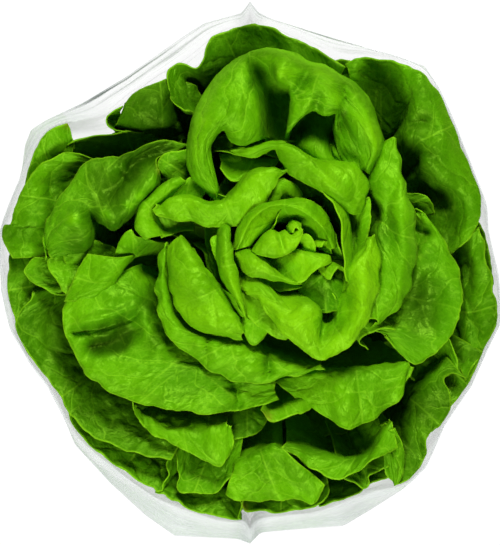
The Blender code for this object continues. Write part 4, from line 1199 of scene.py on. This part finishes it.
def carry(made, name, *fields):
    """Stores up to three fields of a grid mesh as one vector attribute for its material to read."""
    attribute = made.data.attributes.new(name, "FLOAT_VECTOR", "POINT")
    values = np.zeros((fields[0].size, 3), np.float32)
    for i, field in enumerate(fields):
        values[:, i] = field.ravel()
    attribute.data.foreach_set("vector", values.ravel())


def thicken(made, thickness):
    shell = made.modifiers.new("thickness", "SOLIDIFY")
    shell.thickness = thickness * MM
    shell.offset = 0


def build_leaf(name, spec, seed, material):
    points, carried = leaf_points(spec, seed)
    made = grid_mesh("leaf_" + name, points, material)
    for field_name, fields in carried.items():
        carry(made, field_name, *fields)
    thicken(made, LEAF_THICKNESS)
    return made


# --- Materials -----------------------------------------------------------------------------


class Nodes:
    """Short ways to add the nodes of one material."""

    def __init__(self, name):
        self.material = bpy.data.materials.new(name)
        self.material.use_nodes = True
        self.tree = self.material.node_tree
        self.tree.nodes.clear()

    def add(self, kind, **settings):
        node = self.tree.nodes.new("ShaderNode" + kind)
        for key, value in settings.items():
            setattr(node, key, value)
        return node

    def link(self, source, target):
        self.tree.links.new(source, target)

    def feed(self, socket, value):
        if isinstance(value, (int, float)):
            socket.default_value = value
        elif isinstance(value, tuple):
            socket.default_value = (*value, 1.0) if len(value) == 3 and socket.type == "RGBA" else value
        else:
            self.link(value, socket)

    def math(self, operation, *values, clamp=False):
        node = self.add("Math", operation=operation, use_clamp=clamp)
        for socket, value in zip(node.inputs, values):
            self.feed(socket, value)
        return node.outputs[0]

    def ramp(self, value, low, high, to_low=0.0, to_high=1.0):
        node = self.add("MapRange", interpolation_type="SMOOTHSTEP")
        for socket, setting in zip(node.inputs, (value, low, high, to_low, to_high)):
            self.feed(socket, setting)
        return node.outputs[0]

    def mix(self, share, first, second, blend="MIX"):
        node = self.add("Mix", data_type="RGBA", blend_type=blend)
        self.feed(node.inputs[0], share)
        self.feed(node.inputs[6], first)
        self.feed(node.inputs[7], second)
        return node.outputs[2]

    def noise(self, vector, scale, detail=3.0, roughness=0.55):
        node = self.add("TexNoise")
        self.link(vector, node.inputs["Vector"])
        node.inputs["Scale"].default_value = scale
        node.inputs["Detail"].default_value = detail
        node.inputs["Roughness"].default_value = roughness
        return node.outputs[0]

    def attribute(self, name):
        node = self.add("Attribute", attribute_name=name)
        parts = self.add("SeparateXYZ")
        self.link(node.outputs["Vector"], parts.inputs[0])
        return node.outputs["Vector"], parts.outputs

    def bump(self, height, distance, strength=1.0):
        node = self.add("Bump")
        node.inputs["Strength"].default_value = strength
        node.inputs["Distance"].default_value = distance * MM
        self.link(height, node.inputs["Height"])
        return node.outputs[0]

    def stretched(self, vector, amounts):
        node = self.add("VectorMath", operation="MULTIPLY")
        self.link(vector, node.inputs[0])
        node.inputs[1].default_value = amounts
        return node.outputs[0]

    def output(self, shader):
        end = self.add("OutputMaterial")
        self.link(shader, end.inputs["Surface"])
        return self.material


def leaf_material():
    """Lettuce: pale and lit through in the heart, deep green outside, with soft veins and a satin gloss."""
    n = Nodes("lettuce_leaf")
    place, (sideways, level, edge) = n.attribute("place")
    _, (tone_and_shade, brown, number) = n.attribute("look")
    _, (from_rib, cells, _) = n.attribute("veins")
    shift = n.add("CombineXYZ")
    n.feed(shift.inputs[2], n.math("MULTIPLY", number, 97.0))
    moved = n.add("VectorMath", operation="ADD")
    n.link(n.stretched(place, (1.0, 1.0, 0.0)), moved.inputs[0])
    n.link(shift.outputs[0], moved.inputs[1])
    flat = moved.outputs[0]

    # veins: a midrib, side veins that curve from it to the rim, and a fine net between them
    reach = n.math("ABSOLUTE", sideways)
    side = n.math("SIGN", sideways)
    bent = n.math("MULTIPLY", n.math("MULTIPLY", reach, reach), VEIN_CURVE)
    wander = n.math("MULTIPLY", n.math("SUBTRACT", n.noise(flat, 0.06, 2), 0.5), 14.0)
    order = n.math("ADD", n.math("SUBTRACT", level, n.math("MULTIPLY", reach, VEIN_SLANT)), bent)
    order = n.math("DIVIDE", n.math("ADD", order, wander), VEIN_SPACING)
    order = n.math("ADD", n.math("ADD", order, n.math("MULTIPLY", side, VEIN_OFFSET)), 0.5)
    away = n.math("ABSOLUTE", n.math("SUBTRACT", n.math("FRACT", order), 0.5))
    away = n.math("MULTIPLY", away, VEIN_SPACING)
    side_vein = n.ramp(away, 0.05, 0.55, 0.9, 0.0)
    midrib = n.ramp(reach, 0.1, 0.8, 1.0, 0.0)
    furrow = n.math("MAXIMUM", n.ramp(away, 0.2, 2.0, 1.0, 0.0), n.ramp(reach, 0.3, 2.4, 1.0, 0.0))
    warp = n.add("VectorMath", operation="ADD")
    sway = n.add("TexNoise")
    n.link(flat, sway.inputs["Vector"])
    sway.inputs["Scale"].default_value = 0.25
    swayed = n.add("VectorMath", operation="SCALE")
    n.link(sway.outputs["Color"], swayed.inputs[0])
    swayed.inputs["Scale"].default_value = 3.0
    n.link(flat, warp.inputs[0])
    n.link(swayed.outputs[0], warp.inputs[1])
    net = n.add("TexVoronoi", feature="DISTANCE_TO_EDGE")
    n.link(warp.outputs[0], net.inputs["Vector"])
    net.inputs["Scale"].default_value = 0.2
    net_line = n.ramp(net.outputs["Distance"], 0.0, 0.07, 1.0, 0.0)
    fine = n.add("TexVoronoi", feature="DISTANCE_TO_EDGE")
    n.link(warp.outputs[0], fine.inputs["Vector"])
    fine.inputs["Scale"].default_value = 0.8
    rib = n.ramp(from_rib, 0.1, 0.8, 0.8, 0.0)
    cell_line = n.ramp(cells, 0.1, 0.9, 0.7, 0.0)
    clear = n.ramp(n.noise(flat, 0.05, 3), 0.3, 0.6, 0.15, 0.9)
    small = n.math("MAXIMUM", cell_line, n.math("MULTIPLY", net_line, 0.35))
    pale = n.math("MAXIMUM", n.math("MAXIMUM", side_vein, midrib), small)
    pale = n.math("MAXIMUM", n.math("MULTIPLY", pale, clear), rib)
    # veins fade where painted shade deepens the tone
    pale = n.math("MULTIPLY", pale, n.ramp(tone_and_shade, 0.8, 1.3, 1.0, 0.3))

    # colour: pale yellow-green in the heart to deep green outside, then darker painted shade, mottled
    tones = n.add("ValToRGB")
    n.link(n.math("DIVIDE", tone_and_shade, DEEPEST_PAINTED_SHADE), tones.inputs[0])
    ramp = tones.color_ramp
    stops = (
        (0.0, (0.195, 0.50, 0.002)),
        (0.35, (0.125, 0.39, 0.001)),
        (0.7, (0.072, 0.265, 0.001)),
        (1.0, (0.042, 0.158, 0.0006)),
        (DEEPEST_PAINTED_SHADE, (0.02, 0.075, 0.0006)),
    )
    for position, colour in stops[1:-1]:
        ramp.elements.new(position / DEEPEST_PAINTED_SHADE)
    for element, (position, colour) in zip(ramp.elements, stops):
        element.position = position / DEEPEST_PAINTED_SHADE
        element.color = (*colour, 1.0)
    blotch = n.noise(flat, 0.04, 4)
    blade = n.mix(n.ramp(blotch, 0.35, 0.68), tones.outputs[0], (0.62, 0.72, 0.5), "MULTIPLY")
    grain = n.noise(flat, 1.1, 3)
    blade = n.mix(n.ramp(grain, 0.35, 0.7, 0.0, 0.5), blade, (0.7, 0.76, 0.6), "MULTIPLY")
    veined = n.mix(n.math("MULTIPLY", pale, 0.4), blade, (0.25, 0.57, 0.015))
    rimmed = n.mix(n.ramp(edge, 0.1, 1.0, 0.45, 0.0), veined, (0.25, 0.56, 0.008))
    rooted = n.mix(n.ramp(level, 16.0, 40.0, 0.7, 0.0), rimmed, (0.34, 0.56, 0.08))
    specks = n.ramp(n.noise(flat, 0.5, 4), 0.45, 0.62)
    stain = n.math("MULTIPLY", brown, n.math("ADD", n.math("MULTIPLY", specks, 0.5), 0.4))
    stained = n.mix(stain, rooted, (0.2, 0.15, 0.01))

    # relief: puckers between the veins, grooves along them, and the blade's fine grain
    dome = n.ramp(net.outputs["Distance"], 0.0, 0.5)
    height = n.math("SUBTRACT", n.math("MULTIPLY", dome, 0.6), n.math("MULTIPLY", furrow, 0.45))
    height = n.math("ADD", height, n.math("MULTIPLY", n.ramp(fine.outputs["Distance"], 0.0, 0.4), 0.12))
    height = n.math("ADD", height, n.math("MULTIPLY", n.noise(flat, 0.14, 2), 1.3))
    height = n.math("ADD", height, n.math("MULTIPLY", grain, 0.12))

    shader = n.add("BsdfPrincipled")
    n.link(stained, shader.inputs["Base Color"])
    shader.inputs["Roughness"].default_value = 0.8
    shader.inputs["Specular IOR Level"].default_value = 0.0
    relief = n.bump(height, 0.5)
    n.link(relief, shader.inputs["Normal"])
    gloss = n.add("BsdfGlossy")
    gloss.inputs["Color"].default_value = (0.5, 1.0, 0.06, 1.0)
    n.link(n.ramp(n.noise(flat, 0.1, 3), 0.3, 0.7, 0.4, 0.54), gloss.inputs["Roughness"])
    n.link(relief, gloss.inputs["Normal"])
    slant = n.add("Fresnel")
    slant.inputs["IOR"].default_value = 1.5
    n.link(relief, slant.inputs["Normal"])
    skin = n.add("MixShader")
    # less gloss where painted shade deepens the tone
    most_gloss = n.ramp(tone_and_shade, 0.8, 1.3, 0.15, 0.03)
    n.link(n.math("MINIMUM", slant.outputs[0], most_gloss), skin.inputs[0])
    glow = n.add("BsdfTranslucent")
    n.link(n.mix(0.5, stained, (0.22, 0.62, 0.004)), glow.inputs["Color"])
    both = n.add("MixShader")
    n.link(n.ramp(tone_and_shade, 0.0, 0.7, 0.24, 0.1), both.inputs[0])
    n.link(shader.outputs[0], both.inputs[1])
    n.link(glow.outputs[0], both.inputs[2])
    n.link(both.outputs[0], skin.inputs[1])
    n.link(gloss.outputs[0], skin.inputs[2])
    return n.output(skin.outputs[0])


def stem_material():
    n = Nodes("lettuce_stem")
    place = n.add("TexCoord").outputs["Object"]
    shader = n.add("BsdfPrincipled")
    grain = n.noise(place, 220, 4)
    cut = n.mix(n.ramp(grain, 0.35, 0.7), (0.55, 0.58, 0.30), (0.42, 0.30, 0.12))
    n.link(cut, shader.inputs["Base Color"])
    shader.inputs["Roughness"].default_value = 0.6
    n.link(n.bump(grain, 0.6), shader.inputs["Normal"])
    return n.output(shader.outputs[0])


def film_material():
    n = Nodes("clear_film")
    place, (around, height, slack) = n.attribute("place")
    crease = n.noise(n.stretched(place, (0.012, 0.2, 0.0)), 1.0, 4, 0.6)  # long round the sleeve
    cloud = n.noise(n.stretched(place, (0.02, 0.03, 0.0)), 1.0, 3)
    taut = n.math("SUBTRACT", 1.0, slack)
    from_weld = [
        n.math("ABSOLUTE", n.math("SUBTRACT", around, math.radians(azimuth) * AROUND)) for azimuth in WELDS
    ]
    weld = n.ramp(n.math("MINIMUM", *from_weld), 2.0, 10.0, 1.0, 0.0)
    level = n.math("ADD", height, n.math("MULTIPLY", n.math("SUBTRACT", cloud, 0.5), 26.0))
    near_rim, further = [
        n.math(
            "MULTIPLY",
            n.ramp(level, RIM_HEIGHT - low, RIM_HEIGHT - full_low),
            n.ramp(level, RIM_HEIGHT - high, RIM_HEIGHT - full_high),
        )
        for low, full_low, full_high, high in ((15, 8, 5, 0), (36, 30, 28, 23))
    ]
    bands = n.math("MAXIMUM", near_rim, n.math("MULTIPLY", further, 0.4))
    patchy = n.math("ADD", n.ramp(crease, 0.4, 0.6), 0.25)
    # painted crease shade: dark grey streaks along the creases, in bands below the mouth of the slack film
    crease_shade = n.math("MULTIPLY", n.math("MULTIPLY", bands, patchy), slack)
    glint = n.math("MULTIPLY", n.ramp(crease, 0.46, 0.38), slack)
    rim = n.ramp(height, RIM_HEIGHT - 1.2, RIM_HEIGHT - 0.3)
    shader = n.add("BsdfPrincipled")
    tint = n.mix(slack, (0.66, 0.72, 0.705), (0.7, 0.73, 0.73))
    tint = n.mix(crease_shade, tint, (0.15, 0.18, 0.18))
    tint = n.mix(glint, tint, (0.98, 0.98, 0.98))
    tint = n.mix(n.math("MULTIPLY", weld, 0.6), tint, (0.4, 0.46, 0.44))
    tint = n.mix(n.math("MULTIPLY", rim, 0.6), tint, (0.34, 0.37, 0.37))
    n.link(tint, shader.inputs["Base Color"])
    shader.inputs["Roughness"].default_value = 0.16
    edge = n.add("LayerWeight")
    edge.inputs["Blend"].default_value = 0.3
    slanted = n.ramp(edge.outputs["Facing"], 0.25, 0.65)  # clear seen straight through, milky aslant
    veil = n.math("MULTIPLY", n.ramp(cloud, 0.3, 0.7, 0.26, 0.46), taut)
    haze = n.math("ADD", n.math("MULTIPLY", veil, slanted), 0.03)
    weld_haze = n.ramp(crease, 0.3, 0.6, 0.02, 0.16)
    for field, share in ((slack, 0.04), (crease_shade, 0.5), (glint, 0.12), (weld, weld_haze)):
        haze = n.math("ADD", haze, n.math("MULTIPLY", field, share))
    haze = n.math("ADD", haze, n.math("MULTIPLY", rim, 0.3), clamp=True)
    n.link(haze, shader.inputs["Alpha"])
    n.link(n.bump(crease, 1.0), shader.inputs["Normal"])
    return n.output(shader.outputs[0])


def floor_material():
    n = Nodes("pale_floor")
    place = n.add("TexCoord").outputs["Object"]
    shader = n.add("BsdfPrincipled")
    n.link(n.mix(n.noise(place, 3.0), (0.08, 0.08, 0.08), (0.06, 0.06, 0.06)), shader.inputs["Base Color"])
    shader.inputs["Roughness"].default_value = 0.8
    shader.inputs["Emission Color"].default_value = (1.0, 1.0, 1.0, 1.0)
    shader.inputs["Emission Strength"].default_value = 0.94
    return n.output(shader.outputs[0])


# --- The pieces ----------------------------------------------------------------------------


def build_leaves():
    material = leaf_material()
    made = []
    for seed, (name, spec) in enumerate({**LEAVES, **hidden_leaves()}.items()):
        made.append(build_leaf(name, spec, seed + 1, material))
    return made


def build_stem():
    """The cut stem, a slightly uneven column that the leaves grow from."""
    around = np.linspace(0, 2 * math.pi, 49)
    heights = np.array((0.0, 0.0, 0.6, 3.0, 12.0, 26.0, 40.0, 54.0))
    radii = np.array((0.0, 13.5, 14.6, 15.0, 14.5, 13.0, 10.0, 3.0))
    points = np.zeros((len(heights), len(around), 3))
    for i, (height, radius) in enumerate(zip(heights, radii)):
        centre = stem_axis(STEM_FOOT[2] + height)
        uneven = radius * (1 + 0.04 * np.sin(3 * around + 0.4) + 0.03 * np.sin(5 * around))
        points[i] = np.stack([
            centre[0] + uneven * np.cos(around),
            centre[1] + uneven * np.sin(around),
            np.full(len(around), centre[2]),
        ], axis=1)
    return grid_mesh("stem", points, stem_material())


def slack_at(azimuth):
    """How creased the film is: much at the back, where it stands well off the leaves, little elsewhere."""
    first, last = SLACK_ARC
    inside = smooth((azimuth - first) / SLACK_FADE) * smooth((last - azimuth) / SLACK_FADE)
    return inside * (1 - LEAST_SLACK) + LEAST_SLACK


def build_film():
    """The sleeve's flat base and its wall, swelling round the leaves and pulled taut to its mouth."""
    swell = SHOULDER_HEIGHT * (1 - np.cos(np.linspace(0, math.pi / 2, 30)))
    heights = np.concatenate([swell, np.linspace(SHOULDER_HEIGHT, RIM_HEIGHT, 36)[1:]])
    azimuth, height = np.meshgrid(ROUND, heights)
    radius = film_radius(azimuth, height)
    turn = np.radians(azimuth)
    loose = (MOUTH_RADII - HELD_RADII) / 20  # more where the mouth stands further off the leaves
    flare = smooth((height - HELD_HEIGHT) / 20) * smooth((RIM_HEIGHT - height) / 8)
    flare = flare * (0.15 + slack_at(azimuth))
    wide_folds = np.sin(height * 0.42 + 2.5 * np.sin(turn * 3 + 1))
    tight_folds = np.sin(height * 0.9 + 3 * np.sin(turn * 5))
    folds = wide_folds + 0.6 * tight_folds
    radius = radius + folds * 0.7 * flare * np.clip(loose, 0.15, 1.2)
    low = smooth(height / 20) * smooth((SHOULDER_HEIGHT - height) / 30)
    pleats = 0.7 * np.sin(turn * 9 + height * 0.1) + 0.4 * np.sin(turn * 17 - height * 0.2)
    radius = radius + low * (1.1 + pleats)
    wall = np.stack([radius * np.cos(turn), radius * np.sin(turn), height], axis=-1)
    rings = np.concatenate([wall[:1] * share for share in BASE_RINGS] + [wall])
    made = grid_mesh("film_sleeve_clear", rings, film_material())
    around = np.radians(np.tile(ROUND, (len(rings), 1))) * AROUND
    slack = np.tile(slack_at(ROUND), (len(rings), 1))
    carry(made, "place", around, rings[..., 2], slack)
    thicken(made, FILM_THICKNESS)
    return made


def build_floor():
    """A wide plane just under the sleeve's base, so that the two don't lie in one plane."""
    half, level = 2.0 / MM, -0.0005 / MM
    corners = [[(-half, -half, level), (half, -half, level)], [(-half, half, level), (half, half, level)]]
    return grid_mesh("floor", np.array(corners), floor_material())


# --- The scene -----------------------------------------------------------------------------


def add_area_light(name, place, size, power):
    """A round lamp aimed at the head."""
    data = bpy.data.lights.new(name, "AREA")
    data.shape = "DISK"
    data.size = size
    data.energy = power
    made = bpy.data.objects.new(name, data)
    bpy.context.scene.collection.objects.link(made)
    made.location = place
    made.rotation_euler = (Vector(LIT_PLACE) - Vector(place)).to_track_quat("-Z", "Y").to_euler()


def add_camera():
    """Straight above, from far enough for the film's mouth to hide its walls."""
    data = bpy.data.cameras.new("camera")
    data.sensor_fit = "VERTICAL"
    data.sensor_height = 36.0
    data.lens = data.sensor_height * (CAMERA_RISE - RIM_HEIGHT) / SHOWN_HEIGHT
    made = bpy.data.objects.new("camera", data)
    bpy.context.scene.collection.objects.link(made)
    made.location = (0.0, 0.0, CAMERA_RISE * MM)
    bpy.context.scene.camera = made


def set_world():
    world = bpy.data.worlds.new("studio")
    world.use_nodes = True
    background = world.node_tree.nodes["Background"]
    background.inputs["Color"].default_value = (0.9, 0.95, 1.0, 1.0)
    background.inputs["Strength"].default_value = 0.15
    bpy.context.scene.world = world


def main():
    leaves = build_leaves()
    stem = build_stem()
    film = build_film()
    for piece in leaves + [stem]:
        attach(piece, "root")
        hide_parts("lettuce_head")
    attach(film, "root")
    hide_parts("film_sleeve")
    build_floor()
    add_area_light("key", (0.2, 1.15, 1.2), size=0.6, power=34)
    add_area_light("fill", (-0.25, -1.15, 1.2), size=0.6, power=30)
    set_world()
    add_camera()
    bpy.context.scene.view_settings.view_transform = "Standard"


main()
